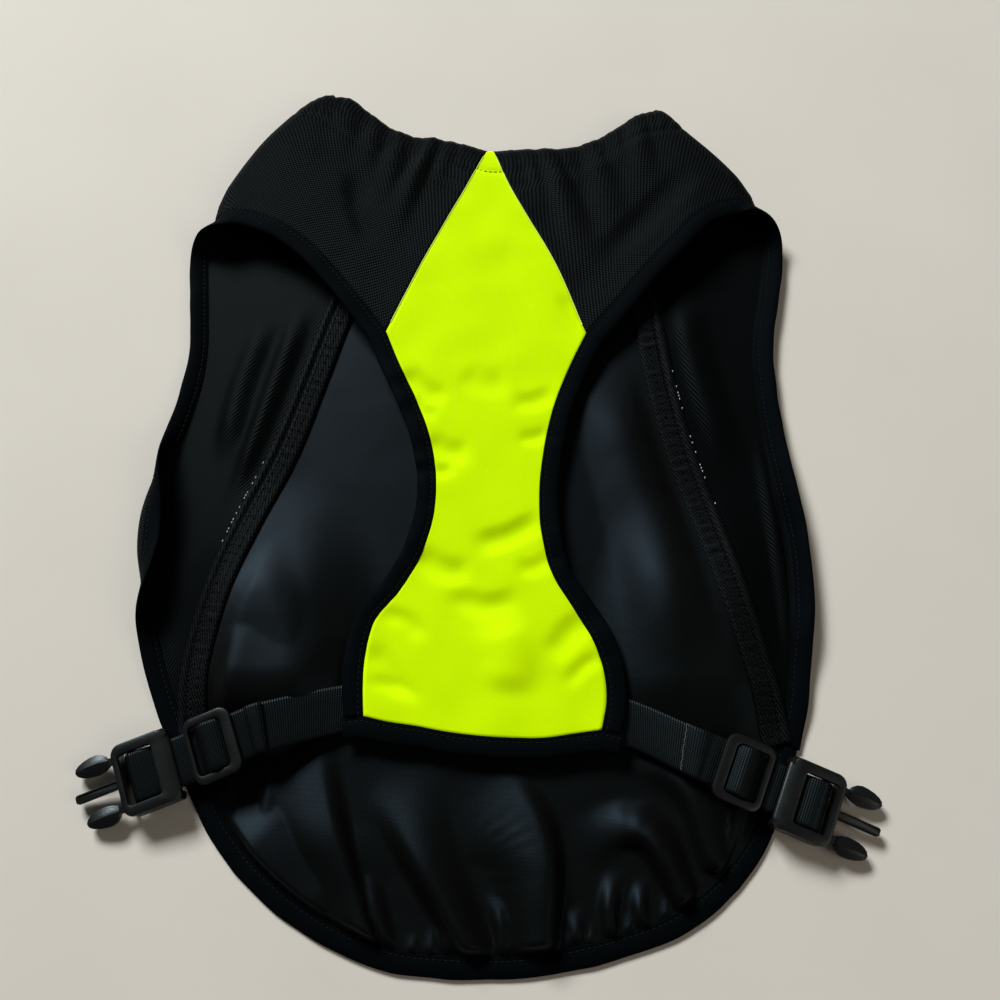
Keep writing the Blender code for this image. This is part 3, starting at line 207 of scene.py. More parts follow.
def folds_at(x, y, folds, gathered=False):
    """Height that folds add: the highest ridge and all the dents. A gathered fold ends in a hem."""
    ridges, dents = np.zeros(np.shape(x)), np.zeros(np.shape(x))
    for row in folds:
        fold = Fold(*row)
        line = smooth_curve([(fold.x0, fold.y0), (fold.x1, fold.y1), (fold.x2, fold.y2)], 15)
        gap, along, hand = nearest(x, y, line)
        width = fold.width * (1.0 + fold.lean * hand)
        if gathered:
            width = width * (1.25 - 0.75 * along)
            high = fold.height * smoothstep(0.0, 0.6, along)
        else:
            high = fold.height * smoothstep(0.0, 0.3, along) * smoothstep(1.0, 0.7, along)
        shape = high * bell(gap / width)
        if fold.height > 0:
            ridges = np.maximum(ridges, shape)
        else:
            dents = dents + shape
    return ridges + dents


def rumple(x, y, size, seed):
    """A soft unevenness of cloth, from -1 to 1, with waves of about one size."""
    points = np.stack([np.ravel(x), np.ravel(y)], axis=1) / size
    made = [noise.noise(Vector((px, py, seed))) for px, py in points]
    return np.array(made).reshape(np.shape(x))


TAIL_LINE = np.concatenate(
    [smooth_curve(TAIL_LEFT, 20), smooth_curve(TAIL_BOTTOM, 80), smooth_curve(TAIL_RIGHT, 20)[::-1]]
)
FLANK_LINES = [np.array(table[CORNER_ROW + 2 :], float)[:, :2] for table in (CREASE_LEFT, CREASE_RIGHT)]
OUTLINE = np.concatenate([FLANK_LINES[0], TAIL_LINE, FLANK_LINES[1][::-1]])
SEAM_LINES = [smooth_curve(SEAM_LEFT, 30), smooth_curve(SEAM_RIGHT, 30)]


def socket_cover(x, y):
    """The rise over the two sockets, with a long ramp on every side."""
    rise = np.zeros(np.shape(x))
    for socket_x, socket_y, sign in SOCKETS:
        outer, neck = (x - socket_x) * sign, y - socket_y
        across = np.clip(np.abs(outer) - SOCKET_HALF[0], 0.0, None)
        along = np.clip(np.abs(neck) - SOCKET_HALF[1], 0.0, None)
        across = across / np.where(outer > 0, RAMP_OUTER, RAMP_INNER)
        along = along / np.where(neck > 0, RAMP_NECK, RAMP_WAIST)
        rise = rise + SOCKET_RISE * (1.0 - smoothstep(0.0, 1.0, np.hypot(across, along)))
    return rise


def back_height(x, y):
    """Middle of the cloth that lies on the table."""
    x, y = np.asarray(x, float), np.asarray(y, float)
    from_edge = nearest(x, y, OUTLINE)[0]
    lift = EDGE_LIFT * (1.0 - smoothstep(0.0, EDGE_LIFT_REACH, from_edge))
    from_tail = nearest(x, y, TAIL_LINE)[0]
    from_seam = np.minimum(nearest(x, y, SEAM_LINES[0])[0], nearest(x, y, SEAM_LINES[1])[0])
    limp = smoothstep(SEAM_STIFF_FROM, SEAM_STIFF_TO, from_seam) * smoothstep(0.0, TAIL_FLAT, from_tail)
    folds = np.maximum(folds_at(x, y, TAIL_FOLDS, gathered=True), folds_at(x, y, FLANK_FOLDS)) * limp
    puckers = np.zeros(x.shape)
    for pucker_x, length, high in TAIL_PUCKERS:
        reach = from_tail / length
        ridge = high * bell((x - pucker_x) / PUCKER_WIDTH)
        puckers = puckers + ridge * smoothstep(0.0, PUCKER_PEAK, reach) * bell(reach)
    puckers = np.where(y < PUCKERS_BELOW, puckers, 0.0)
    wander = 1.0 + FOLD_WANDER * rumple(x, y, WANDER_SIZE, 21.0)
    soft = SOFT_HEIGHT * (1.0 + rumple(x, y, SOFT_SIZE, 3.0)) + FINE_HEIGHT * rumple(x, y, FINE_SIZE, 5.0)
    soft = soft * smoothstep(4.0, 30.0, from_edge)
    return BACK_REST + lift + np.maximum(folds * wander, puckers) + soft + socket_cover(x, y)


def coons(bottom, top, left, right, u, v):
    """Point of the patch that four edge curves span. Bottom and top run with u, left and right with v."""
    low, high = point_on(bottom, u), point_on(top, u)
    near, far = point_on(left, v), point_on(right, v)
    u, v = u[:, None], v[:, None]
    corners = (1 - v) * ((1 - u) * bottom[0] + u * bottom[-1]) + v * ((1 - u) * top[0] + u * top[-1])
    return (1 - v) * low + v * high + (1 - u) * near + u * far - corners


SHOULDER_ROWS, FLANK_ROWS = 44, 150
SIDE_ROWS = SHOULDER_ROWS + FLANK_ROWS


def side_rows(crease_table, seam_table, sign):
    """Crease, outward direction and seam point of each row of a side panel, neck to waist."""
    over = smooth_curve(crease_table[: CORNER_ROW + 1], SHOULDER_ROWS + 1)
    flank = smooth_curve(crease_table[CORNER_ROW:], FLANK_ROWS + 1)[1:]
    crease = np.concatenate([over, flank])
    step = unit(softened(np.gradient(crease[:, :2], axis=0), 6))
    outward = np.stack([sign * -step[:, 1], sign * step[:, 0]], axis=1)
    run = run_along(crease[:, :2])
    return crease, outward, point_on(smooth_curve(seam_table, 300), run / run[-1])


LEFT_ROWS = side_rows(CREASE_LEFT, SEAM_LEFT, -1)
RIGHT_ROWS = side_rows(CREASE_RIGHT, SEAM_RIGHT, 1)
BACK_COLUMNS, TAIL_ROWS = 150, 44


def back_place(columns, rows):
    """Places the back's grid, tail to neck, between the tail's ends and the two side seams."""
    edges = []
    for seam, tail in ((LEFT_ROWS[2], TAIL_LEFT), (RIGHT_ROWS[2], TAIL_RIGHT)):
        edges.append(np.concatenate([smooth_curve(tail, TAIL_ROWS + 1)[::-1][:-1], seam[::-1]]))
    left, right = edges
    tail, neck = smooth_curve(TAIL_BOTTOM, 200), smooth_curve(NECK_BACK, 60)
    tail[0], tail[-1], neck[0], neck[-1] = left[0], right[0], left[-1], right[-1]
    plan = coons(tail, neck, left, right, columns / BACK_COLUMNS, rows / (len(left) - 1))
    return np.column_stack([plan, back_height(plan[:, 0], plan[:, 1])]), plan


def laid(columns, rows, place, off=None, tube=False):
    """A grid of cloth, each crossing put in its place, with the flat cloth's own measure as its weave."""
    bm = bmesh.new()
    bmesh.ops.create_grid(bm, x_segments=columns, y_segments=rows, size=0.5)
    across = np.array([round((v.co.x + 0.5) * columns) for v in bm.verts], float)
    along = np.array([round((v.co.y + 0.5) * rows) for v in bm.verts], float)
    points, flat = place(across, along)
    weave = bm.loops.layers.uv.new("weave")
    for face in bm.faces:
        for loop in face.loops:
            loop[weave].uv = flat[loop.vert.index]
    spare = [f for f in bm.faces if off and all(off(across[v.index], along[v.index]) for v in f.verts)]
    for vert, point in zip(bm.verts, points):
        vert.co = point
    bmesh.ops.delete(bm, geom=spare, context="FACES")
    if tube:
        bmesh.ops.remove_doubles(bm, verts=bm.verts, dist=0.001)
        bmesh.ops.holes_fill(bm, edges=[e for e in bm.edges if e.is_boundary], sides=0)
        bmesh.ops.recalc_face_normals(bm, faces=bm.faces)
    return bm


def in_scene(name, data):
    obj = bpy.data.objects.new(name, data)
    bpy.context.scene.collection.objects.link(obj)
    return obj


def piece(name, bm, *finishes):
    """The finished mesh as a piece of the vest, in metres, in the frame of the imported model."""
    mesh = bpy.data.meshes.new(name)
    bm.to_mesh(mesh)
    bm.free()
    mesh.transform(Matrix.Scale(0.001, 4) @ Matrix.Translation((*FOOTPRINT_SHIFT, 0.0)))
    mesh.shade_smooth()
    for finish in finishes:
        mesh.materials.append(finish)
    obj = in_scene(name, mesh)
    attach(obj, "root")
    return obj


def walled(obj, thickness, second_finish=0):
    """Gives a sheet the thickness of its cloth. The other face may have a finish of its own."""
    wall = obj.modifiers.new("cloth", "SOLIDIFY")
    wall.thickness = thickness * 0.001
    wall.offset = 0.0
    wall.use_quality_normals = True
    wall.material_offset = second_finish
    return obj


class Wire:
    """A socket in a material: sums and products on it add Math nodes, and node() adds any other."""

    def __init__(self, tree, socket=None):
        self.tree, self.socket = tree, socket

    def node(self, kind, settings=None, inputs=None, output=0):
        made = self.tree.nodes.new(kind)
        for name, value in (settings or {}).items():
            setattr(made, name, value)
        for name, value in (inputs or {}).items():
            if isinstance(value, Wire):
                self.tree.links.new(value.socket, made.inputs[name])
            else:
                made.inputs[name].default_value = value
        return Wire(self.tree, made.outputs[output])

    def maths(self, operation, *values):
        return self.node("ShaderNodeMath", {"operation": operation}, dict(enumerate(values)))

    def __add__(self, other):
        return self.maths("ADD", self, other)

    def __sub__(self, other):
        return self.maths("SUBTRACT", self, other)

    def __rsub__(self, other):
        return self.maths("SUBTRACT", other, self)

    def __mul__(self, other):
        return self.maths("MULTIPLY", self, other)

    __radd__ = __add__
    __rmul__ = __mul__

    def wave(self, pitch, turn=0.0):
        """From 0 to 1 and back over each pitch."""
        return self.maths("SINE", self * (2 * math.pi / pitch) + turn) * 0.5 + 0.5

    def mix(self, low, high):
        """From one colour to the other as this goes from 0 to 1."""
        ends = {k: end if isinstance(end, Wire) else (*end, 1.0) for k, end in ((6, low), (7, high))}
        return self.node("ShaderNodeMix", {"data_type": "RGBA"}, {0: self, **ends}, 2)

    def feed(self, shader, socket):
        self.tree.links.new(self.socket, shader.inputs[socket])


def new_finish(name, roughness, specular, gloss_tint=(1, 1, 1)):
    """A material to build on: its own starting wire and its shader."""
    made = bpy.data.materials.new(name)
    made.use_nodes = True
    shader = made.node_tree.nodes["Principled BSDF"]
    shader.inputs["Roughness"].default_value = roughness
    shader.inputs["Specular IOR Level"].default_value = specular
    shader.inputs["Specular Tint"].default_value = (*gloss_tint, 1.0)
    return made, Wire(made.node_tree), shader


def weave_axes(start, turn):
    """Distances in millimetres across and along the flat cloth, turned to the grain."""
    uv = start.node("ShaderNodeUVMap", {"uv_map": "weave"})
    grain = {"Vector": uv, "Rotation": (0, 0, math.radians(turn))}
    turned = start.node("ShaderNodeMapping", {"vector_type": "POINT"}, grain)
    x, y = (turned.node("ShaderNodeSeparateXYZ", None, {"Vector": turned}, k) for k in (0, 1))
    return uv, x, y


def object_place(start):
    """The place on the piece itself, in metres, for finishes with no weave to follow."""
    return start.node("ShaderNodeTexCoord", None, None, 3)


def speckle(at, size, detail=2.0):
    """Noise from 0 to 1 whose grains are about one size, in the unit of their place."""
    return at.node("ShaderNodeTexNoise", None, {"Vector": at, "Scale": 1.0 / size, "Detail": detail})


def bumped(shader, height, depth):
    """Raises the surface by depth, in millimetres, times the height."""
    bump = {"Strength": 1.0, "Distance": depth * 0.001, "Height": height}
    height.node("ShaderNodeBump", None, bump).feed(shader, "Normal")


def cloth_finish(name, roughness, specular, gloss_tint, turn, look):
    """A cloth's material. Its look gives the colour, the relief and the relief's depth."""
    made, start, shader = new_finish(name, roughness, specular, gloss_tint)
    colour, relief, depth = look(*weave_axes(start, turn))
    colour.feed(shader, "Base Color")
    bumped(shader, relief, depth)
    return made


def lining_look(uv, x, y):
    cloud, grain = speckle(uv, 18.0, 3.0), speckle(uv, 0.45)
    colour = (cloud * 0.6 + grain * 0.4).mix((0.0010, 0.0010, 0.0007), (0.0029, 0.0028, 0.0019))
    return colour, x.wave(0.6) * y.wave(0.6) * 0.4 + grain * 0.6, 0.09


def outer_mesh_look(uv, x, y):
    """Air mesh as the collar shows it: staggered rows of small eyes between raised threads."""
    eyes = x.wave(2.1) * y.wave(2.1) + x.wave(2.1, math.pi) * y.wave(2.1, math.pi)
    threads = eyes.mix((0.0066, 0.0078, 0.0080), (0.0, 0.0, 0.0))
    return (speckle(uv, 22.0) * 0.3).mix(threads, (0.0014, 0.0016, 0.0018)), 1 - eyes, 0.4


def inner_mesh_finish(name, thread):
    """The inner face of the same mesh: fine ribs that run up the cloth at a slant."""

    def look(uv, x, y):
        ribs = x.wave(1.5)
        relief = ribs * 0.75 + ribs * y.wave(1.1) * 0.25
        threads = relief.mix((0.0001, 0.0001, 0.0001), thread)
        return (speckle(uv, 22.0) * 0.3).mix(threads, (0.0008, 0.0009, 0.0009)), relief, 0.2

    return cloth_finish(name, 0.5, 0.03, (0.6, 0.9, 1.0), 20.0, look)


lining = cloth_finish("lining_black", 0.45, 0.095, (0.46, 0.74, 1.0), 0.0, lining_look)
mesh_outside = cloth_finish("mesh_black", 0.5, 0.03, (0.6, 0.9, 1.0), 8.0, outer_mesh_look)
mesh_inside = inner_mesh_finish("mesh_black_inside", (0.0028, 0.0031, 0.0032))

back_grid = laid(BACK_COLUMNS, TAIL_ROWS + SIDE_ROWS, back_place)
back = walled(piece("back_lining", back_grid, lining), CLOTH_SHOWN)
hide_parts("back_panel")

# THE MESH SIDES
# Each is one piece of black air mesh from the back seam out to the flank. At the shoulder it rolls
# over and comes back to the chest seam, gathered at the neck by the elastic in its casing.

NECK_LEFT = [(1.2, 211), (-15, 216), (-34, 220), (-47, 222), (-61, 229), (-75, 240), (-86, 248), (-94, 248)]
NECK_RIGHT = [(4.8, 211), (23, 212), (44, 212), (64, 216), (77, 223), (88, 230), (98, 235), (104, 236)]
CHEST_SEAM_LEFT = [(1.2, 211), (-9, 189), (-36, 133), (-57, 84)]
CHEST_SEAM_RIGHT = [(4.8, 211), (13, 189), (42, 129), (59, 83)]
ARM_EDGE_LEFT = [(-57, 84), (-72, 104), (-88, 124), (-104, 141), (-121, 153), (-140, 161), (-156, 164)]
ARM_EDGE_RIGHT = [(59, 83), (73, 99), (91, 122), (111, 144), (124, 158), (138, 167), (157, 172)]
# Gathers of the neck's elastic: their place along X, that 80 mm below, width, height and reach
NECK_GATHERS = [
    (-84, -91, 9, 1.4, 60), (-67, -79, 7, 2.8, 60), (-51, -69, 7, 3.6, 90), (-32, -60, 6, 4.6, 100),
    (-21, -44, 5, 1.8, 46), (-12, -24, 4, 1.2, 20), (15, 24, 4, 1.2, 24), (25, 46, 5, 2.0, 50),
    (37, 60, 8, 4.2, 105), (50, 70, 5, 1.2, 40), (64, 80, 8, 3.6, 84), (78, 88, 6, 1.4, 44),
    (92, 98, 8, 3.2, 70),
]
CHEST_FOLDS = [
    (-46, 62, -34, 48, -20, 40, 9, -1.9), (-40, 44, -32, 34, -24, 32, 6, -1.2),
    (-32, 20, -20, 10, -6, 10, 9, -1.6), (-38, -46, -24, -57, -4, -61, 10, -2.0),
    (34, -28, 12, -40, -8, -45, 9, -2.0), (38, -48, 30, -56, 16, -58, 7, -1.2),
    (58, -84, 46, -92, 34, -108, 10, -1.7), (-60, -98, -48, -112, -40, -128, 9, -1.6),
    (-56, -82, -40, -86, -30, -98, 7, -1.2), (60, 86, 50, 98, 44, 110, 7, -1.2),
    (-34, 2, -24, -2, -14, 2, 6, -1.3), (36, 24, 28, 18, 18, 20, 6, -1.2),
    (40, 48, 28, 40, 14, 40, 8, -1.4), (-20, -70, 0, -78, 22, -74, 9, -1.6),
    (-62, -118, -46, -120, -30, -128, 6, -1.1), (64, -104, 52, -110, 42, -122, 6, -1.2),
    (-14, 60, 0, 52, 16, 54, 12, -1.2), (10, -84, 14, -104, 12, -126, 18, 2.4),
    (130, 196, 95, 158, 66, 128, 12, -2.6), (-80, 196, -76, 168, -66, 140, 10, -1.8),
]
DENT_DEPTH = 1.15
CHEST_HEIGHT = 9.6
SHOULDER_RISE = 8.4
SHOULDER_FROM, SHOULDER_TO = 50.0, 130.0
CASING = 16.0
GATHER_DROP, GATHER_SPREAD = 80.0, 90.0
RUFFLE_HEIGHT, RUFFLE_PITCH = 0.28, 5.4
CASING_DIP, EDGE_TURN = 0.8, 1.8
CHEST_SOFT, CHEST_SOFT_SIZE = 0.7, 22.0
NECK_LINE = np.concatenate([smooth_curve(NECK_LEFT, 60)[::-1], smooth_curve(NECK_RIGHT, 60)])


def below_neck(x, y):
    return np.interp(x, NECK_LINE[:, 0], NECK_LINE[:, 1]) - y


def front_height(x, y):
    """Middle of the cloth of the chest and shoulders, which lies above the back."""
    x, y = np.asarray(x, float), np.asarray(y, float)
    shoulder = smoothstep(SHOULDER_FROM, SHOULDER_TO, np.abs(x)) * smoothstep(40.0, 110.0, y)
    below = below_neck(x, y)
    held = 0.4 + 0.6 * smoothstep(4.0, CASING + 8.0, below)
    gathers = np.zeros(x.shape)
    for neck_x, lower_x, width, high, reach in NECK_GATHERS:
        lean = x - neck_x - (lower_x - neck_x) * below / GATHER_DROP
        fade = 1.0 - smoothstep(0.15 * reach, reach, below)
        gathers = gathers + high * bell(lean / (width * (1.0 + below / GATHER_SPREAD))) * fade * held
    casing = smoothstep(CASING + 3.0, CASING - 3.0, below) * smoothstep(4, 12, np.abs(x - 3))
    phase = x * 2 * math.pi / RUFFLE_PITCH + 6.0 * rumple(x, y, 14.0, 8.0)
    ruffle = RUFFLE_HEIGHT * casing * np.sin(phase)
    stitched = -CASING_DIP * bell((below - CASING) / 2.2)
    turned_in = -EDGE_TURN * bell(below / 3.0)
    soft = CHEST_SOFT * rumple(x, y, CHEST_SOFT_SIZE, 1.0)
    dents = DENT_DEPTH * folds_at(x, y, CHEST_FOLDS)
    return CHEST_HEIGHT + SHOULDER_RISE * shoulder + gathers + dents + ruffle + stitched + turned_in + soft


SIDE_BACK_COLUMNS, SIDE_ROLL_COLUMNS, SIDE_FRONT_COLUMNS = 26, 14, 64
ROLL_AT = SIDE_BACK_COLUMNS + SIDE_ROLL_COLUMNS
FRONT_CROWDING = 1.35


def side_place(rows_of_side, neck_table, chest_table, arm_table):
    """Places a side panel's grid: under the shoulder, round the roll, and back over the top."""
    crease, outward, seam = rows_of_side
    neck = smooth_curve(neck_table, 120)[::-1]
    chest = smooth_curve(chest_table, 120)
    arm = smooth_curve(arm_table, 120)[::-1]
    fold = crease[: SHOULDER_ROWS + 1, :2].copy()
    neck[0], arm[0], neck[-1], arm[-1] = fold[0], fold[-1], chest[0], chest[-1]
    run = run_along(crease[:, :2])

    def place(columns, rows):
        i = rows.astype(int)
        start, turn, radius = crease[i, :2], np.radians(crease[i, 2]), crease[i, 3]
        share = np.clip(columns / SIDE_BACK_COLUMNS, 0.0, 1.0)[:, None]
        plan = seam[i] + share * (start - seam[i])
        height = back_height(plan[:, 0], plan[:, 1])
        reach = share[:, 0] * np.linalg.norm(start - seam[i], axis=1)

        rolled = np.clip((columns - SIDE_BACK_COLUMNS) / SIDE_ROLL_COLUMNS, 0.0, 1.0) * turn
        gap = (front_height(start[:, 0], start[:, 1]) - height) / 2
        flank_rise = np.maximum(radius, gap * smoothstep(45.0, 180.0, crease[i, 2]))
        rise = np.where(i <= SHOULDER_ROWS, gap, flank_rise)
        plan = plan + outward[i] * (radius * np.sin(rolled))[:, None]
        height = height + rise * (1.0 - np.cos(rolled))
        reach = reach + rolled * np.maximum(radius, rise * 0.8)

        front = columns > ROLL_AT
        u = np.clip((columns - ROLL_AT) / SIDE_FRONT_COLUMNS, 0.0, 1.0) ** FRONT_CROWDING
        v = np.clip(rows / SHOULDER_ROWS, 0.0, 1.0)
        over = coons(neck, arm, fold, chest, u, v)
        plan = np.where(front[:, None], over, plan)
        reach = np.where(front, reach + np.linalg.norm(over - start, axis=1), reach)
        height = np.where(front, front_height(plan[:, 0], plan[:, 1]), height)
        return np.column_stack([plan, height]), np.column_stack([reach, run[i]])

    return place


def past_shoulder(column, row):
    return column >= ROLL_AT and row >= SHOULDER_ROWS


SIDES = {
    "left": side_place(LEFT_ROWS, NECK_LEFT, CHEST_SEAM_LEFT, ARM_EDGE_LEFT),
    "right": side_place(RIGHT_ROWS, NECK_RIGHT, CHEST_SEAM_RIGHT, ARM_EDGE_RIGHT),
}
side_cloths = {}
for hand, place in SIDES.items():
    cloth = laid(ROLL_AT + SIDE_FRONT_COLUMNS, SIDE_ROWS, place, past_shoulder)
    finishes = (mesh_inside, mesh_outside) if hand == "left" else (mesh_outside, mesh_inside)
    side = walled(piece(f"side_mesh_{hand}", cloth, *finishes), CLOTH_SHOWN, 1)
    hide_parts(f"side_panel_{hand}")
    side_cloths[hand] = side

# THE CHEST PANEL
# A long kite of bright woven cloth from the neck to the chest hem. Its upper edges are seamed to the
# mesh with a pale edge showing, and one line of stitching crosses it where the neck casing ends.

CHEST_ARM_LEFT = [
    (-57, 84), (-49, 64), (-39, 42), (-31, 20), (-27, -2), (-28, -30), (-35, -52), (-45, -70),
    (-57, -85), (-61, -100), (-62, -120), (-61, -136),
]
CHEST_ARM_RIGHT = [
    (59, 83), (47, 57), (40, 38), (34, 12), (31, -14), (32, -38), (38, -62), (48, -79), (57, -94),
    (63, -112), (64, -127), (61, -143),
]
CHEST_HEM = [
    (-61, -136), (-48, -139), (-34, -141), (-18, -144), (-2, -146), (15, -147), (32, -147), (46, -145),
    (61, -143),
]
CHEST_COLUMNS, KITE_ROWS, LOWER_ROWS = 48, 64, 112
HEM_SAG_ROWS = 35.0


def chest_place(columns, rows):
    """Places the kite's grid between its two sides, hem first, with the hem's own sag at the bottom."""
    sides = []
    for seam, arm in ((CHEST_SEAM_LEFT, CHEST_ARM_LEFT), (CHEST_SEAM_RIGHT, CHEST_ARM_RIGHT)):
        kite, lower = smooth_curve(seam, KITE_ROWS + 1), smooth_curve(arm, LOWER_ROWS + 1)
        sides.append(np.concatenate([kite, lower[1:]])[::-1])
    left, right = sides
    hem = smooth_curve(CHEST_HEM, CHEST_COLUMNS + 1)
    sag = hem - (left[0] + np.linspace(0, 1, CHEST_COLUMNS + 1)[:, None] * (right[0] - left[0]))
    share = (columns / CHEST_COLUMNS)[:, None]
    i = rows.astype(int)
    fade = (1.0 - smoothstep(0.0, HEM_SAG_ROWS, rows))[:, None]
    plan = left[i] + share * (right[i] - left[i]) + fade * point_on(sag, columns / CHEST_COLUMNS)
    return np.column_stack([plan, front_height(plan[:, 0], plan[:, 1])]), plan


def neon_look(uv, x, y):
    twill, grain = x.wave(0.9), speckle(uv, 0.8, 1.0)
    shade = twill * 0.35 + y.wave(0.7) * 0.15 + grain * 0.25 + speckle(uv, 26.0, 3.0) * 0.25
    return shade.mix((0.40, 0.68, 0.0), (0.68, 0.97, 0.0)), twill * 0.6 + grain * 0.4, 0.12


neon = cloth_finish("neon_yellow", 0.75, 0.02, (1, 1, 1), 45.0, neon_look)
chest = laid(CHEST_COLUMNS, KITE_ROWS + LOWER_ROWS, chest_place)
chest = walled(piece("chest_cloth", chest, neon), CLOTH_SHOWN)
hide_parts("chest_panel")

SEAM_EDGE_RADIUS = 0.35


def corded(name, lines, radius, finish, steps=1, capped=True):
    """A round cord along each line of points, all as one piece."""
    curve = bpy.data.curves.new(name, "CURVE")
    curve.dimensions = "3D"
    curve.bevel_depth = radius * 0.001
    curve.bevel_resolution = steps
    curve.use_fill_caps = capped
    for line in lines:
        spline = curve.splines.new("POLY")
        spline.points.add(len(line) - 1)
        for point, where in zip(spline.points, line + (*FOOTPRINT_SHIFT, 0.0)):
            point.co = (*(where * 0.001), 1.0)
    curve.materials.append(finish)
    obj = in_scene(name, curve)
    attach(obj, "root")
    return obj


def on_front(line):
    """Points on the upper face of the chest and the shoulders."""
    return np.column_stack([line, front_height(line[:, 0], line[:, 1]) + CLOTH_SHOWN / 2])


pale, start, shader = new_finish("neon_pale_edge", 0.7, 0.05)
frays = speckle(object_place(start), 0.0012, 1.0)
frays.mix((0.42, 0.62, 0.04), (0.66, 0.88, 0.16)).feed(shader, "Base Color")
edges = [on_front(smooth_curve(seam, 80)[3:-4]) for seam in (CHEST_SEAM_LEFT, CHEST_SEAM_RIGHT)]
seam_edge = corded("chest_seam_edge", edges, SEAM_EDGE_RADIUS, pale, 2, False)

# THE BINDINGS
# Soft black tape, folded over each raw edge and stitched through near its inner side. One runs from
# the chest hem over the shoulder and down the flank on each side, one crosses the chest hem, and an
# elastic one gathers the tail.

BAND_OVERLAP = 0.8
BAND_EDGE_THICK = 1.9
BAND_CROWN = 0.9
FOLD_NOSE, HEEL, STITCH_PRESS = 2.4, 0.3, 0.28
BAND_ACROSS = np.array([-0.8, -0.78, -0.5, 0.4, 1.2, 1.9, 2.7, 4.0, 5.5, 7.0, 8.2, 9.1, 9.7, 10.0])
BAND_COLUMNS = 2 * (len(BAND_ACROSS) - 1)
STITCH_AT = 1.9
TABLE_CLEAR = 0.05
CORNER_REACH, CORNER_ROWS, CORNER_PASSES = 16.0, 22.0, 70
STITCH_PITCH = 3.0


def band_half(across):
    """Half the tape's thickness: a soft crown, rounded off at the fold and pressed in by the stitches."""
    past = np.clip((across - BINDING_WIDTH + FOLD_NOSE) / FOLD_NOSE, 0, 1)
    nose = np.sqrt(np.clip(1.0 - past**2, 0, 1))
    crown = BAND_CROWN / 2 * np.sin(np.clip(across / BINDING_WIDTH, 0, 1) * math.pi)
    heel = np.clip((across + BAND_OVERLAP) / HEEL, 0, 1) ** 0.5
    pressed = STITCH_PRESS * bell((across - STITCH_AT) / 1.3)
    return ((BAND_EDGE_THICK / 2 + crown) * nose - pressed) * heel


def band(name, origins, outward, upward, finish):
    """The tape carried along an edge, a little uneven as sewn tape is."""
    run = run_along(origins)
    seed = float(len(name))
    uneven = np.array([noise.noise(Vector((r / 17.0, seed, 0.5))) for r in run])
    pull = np.array([noise.noise(Vector((r / 4.5, seed, 7.5))) for r in run])

    def place(columns, rows):
        i = rows.astype(int)
        k = columns.astype(int)
        across = BAND_ACROSS[np.minimum(k, BAND_COLUMNS - k)]
        above = band_half(across) * np.where(k * 2 < BAND_COLUMNS, 1.0, -1.0)
        grown = 1.0 + 0.05 * uneven[i] * np.clip(across / BINDING_WIDTH, 0, 1)
        above = above * (1.0 + 0.10 * pull[i]) + 0.15 * uneven[i]
        points = origins[i] + outward[i] * (across * grown)[:, None] + upward[i] * above[:, None]
        points[:, 2] = np.maximum(points[:, 2], TABLE_CLEAR)
        weave = np.where(columns * 2 < BAND_COLUMNS, across, 2 * BINDING_WIDTH - across)
        return points, np.column_stack([weave, run[i]])

    return piece(name, laid(BAND_COLUMNS, len(origins) - 1, place, tube=True), finish)


def squared(vectors, tangent):
    """Directions made square to a line's own direction."""
    return unit(vectors - (vectors * tangent).sum(1)[:, None] * tangent)


def edge_frames(place, cells, inner):
    """Points along an edge of a cloth, and at each the direction in the cloth that leads out of it."""
    edge = place(*np.array(cells, float).T)[0]
    inside = place(*np.array(inner, float).T)[0]
    return edge, squared(edge - inside, unit(np.gradient(edge, axis=0)))


def draw_along(side, edge, moved):
    """Takes the cloth near an edge along with it, less and less with the distance."""
    shifted = np.linalg.norm(moved, axis=1) > 0.05
    edge, moved = edge[shifted], moved[shifted]
    for vert in side.data.vertices:
        place = np.array(vert.co) * 1000.0 - (*FOOTPRINT_SHIFT, 0.0)
        away = np.linalg.norm(edge - place, axis=1)
        k = int(away.argmin())
        vert.co += Vector(moved[k] * 0.001 * float(bell(away[k] / CORNER_REACH)))


def armhole_edge(hand):
    """The edge from the chest hem up over the shoulder and down the flank to the waist."""
    place = SIDES[hand]
    column, inward = (0, 1) if hand == "left" else (CHEST_COLUMNS, -1)
    chest_cells = [(column, row) for row in range(LOWER_ROWS)]
    chest_inner = [(column + 2 * inward, row) for row in range(LOWER_ROWS)]
    cells = [(c, SHOULDER_ROWS) for c in range(ROLL_AT + SIDE_FRONT_COLUMNS, ROLL_AT, -1)]
    inner = [(c, SHOULDER_ROWS - 3) for c, _ in cells]
    cells += [(ROLL_AT, row) for row in range(SHOULDER_ROWS, SIDE_ROWS + 1)]
    inner += [(ROLL_AT - 3, row) for row in range(SHOULDER_ROWS, SIDE_ROWS + 1)]
    chest_edge, chest_away = edge_frames(chest_place, chest_cells, chest_inner)
    mesh_edge, mesh_away = edge_frames(place, cells, inner)
    origins = np.concatenate([chest_edge, mesh_edge])
    outward = unit(softened(np.concatenate([chest_away, mesh_away]), 24))
    corner = LOWER_ROWS + SIDE_FRONT_COLUMNS
    near = bell((np.arange(len(origins)) - corner) / CORNER_ROWS)[:, None]
    moved = (softened(origins.copy(), CORNER_PASSES) - origins) * near
    draw_along(side_cloths[hand], origins, moved)
    origins = origins + moved
    tangent = unit(softened(np.gradient(origins, axis=0), 6))
    outward = squared(outward, tangent)
    return origins, outward, np.cross(outward, tangent)


def straight_up(count):
    return np.tile([0.0, 0.0, 1.0], (count, 1))


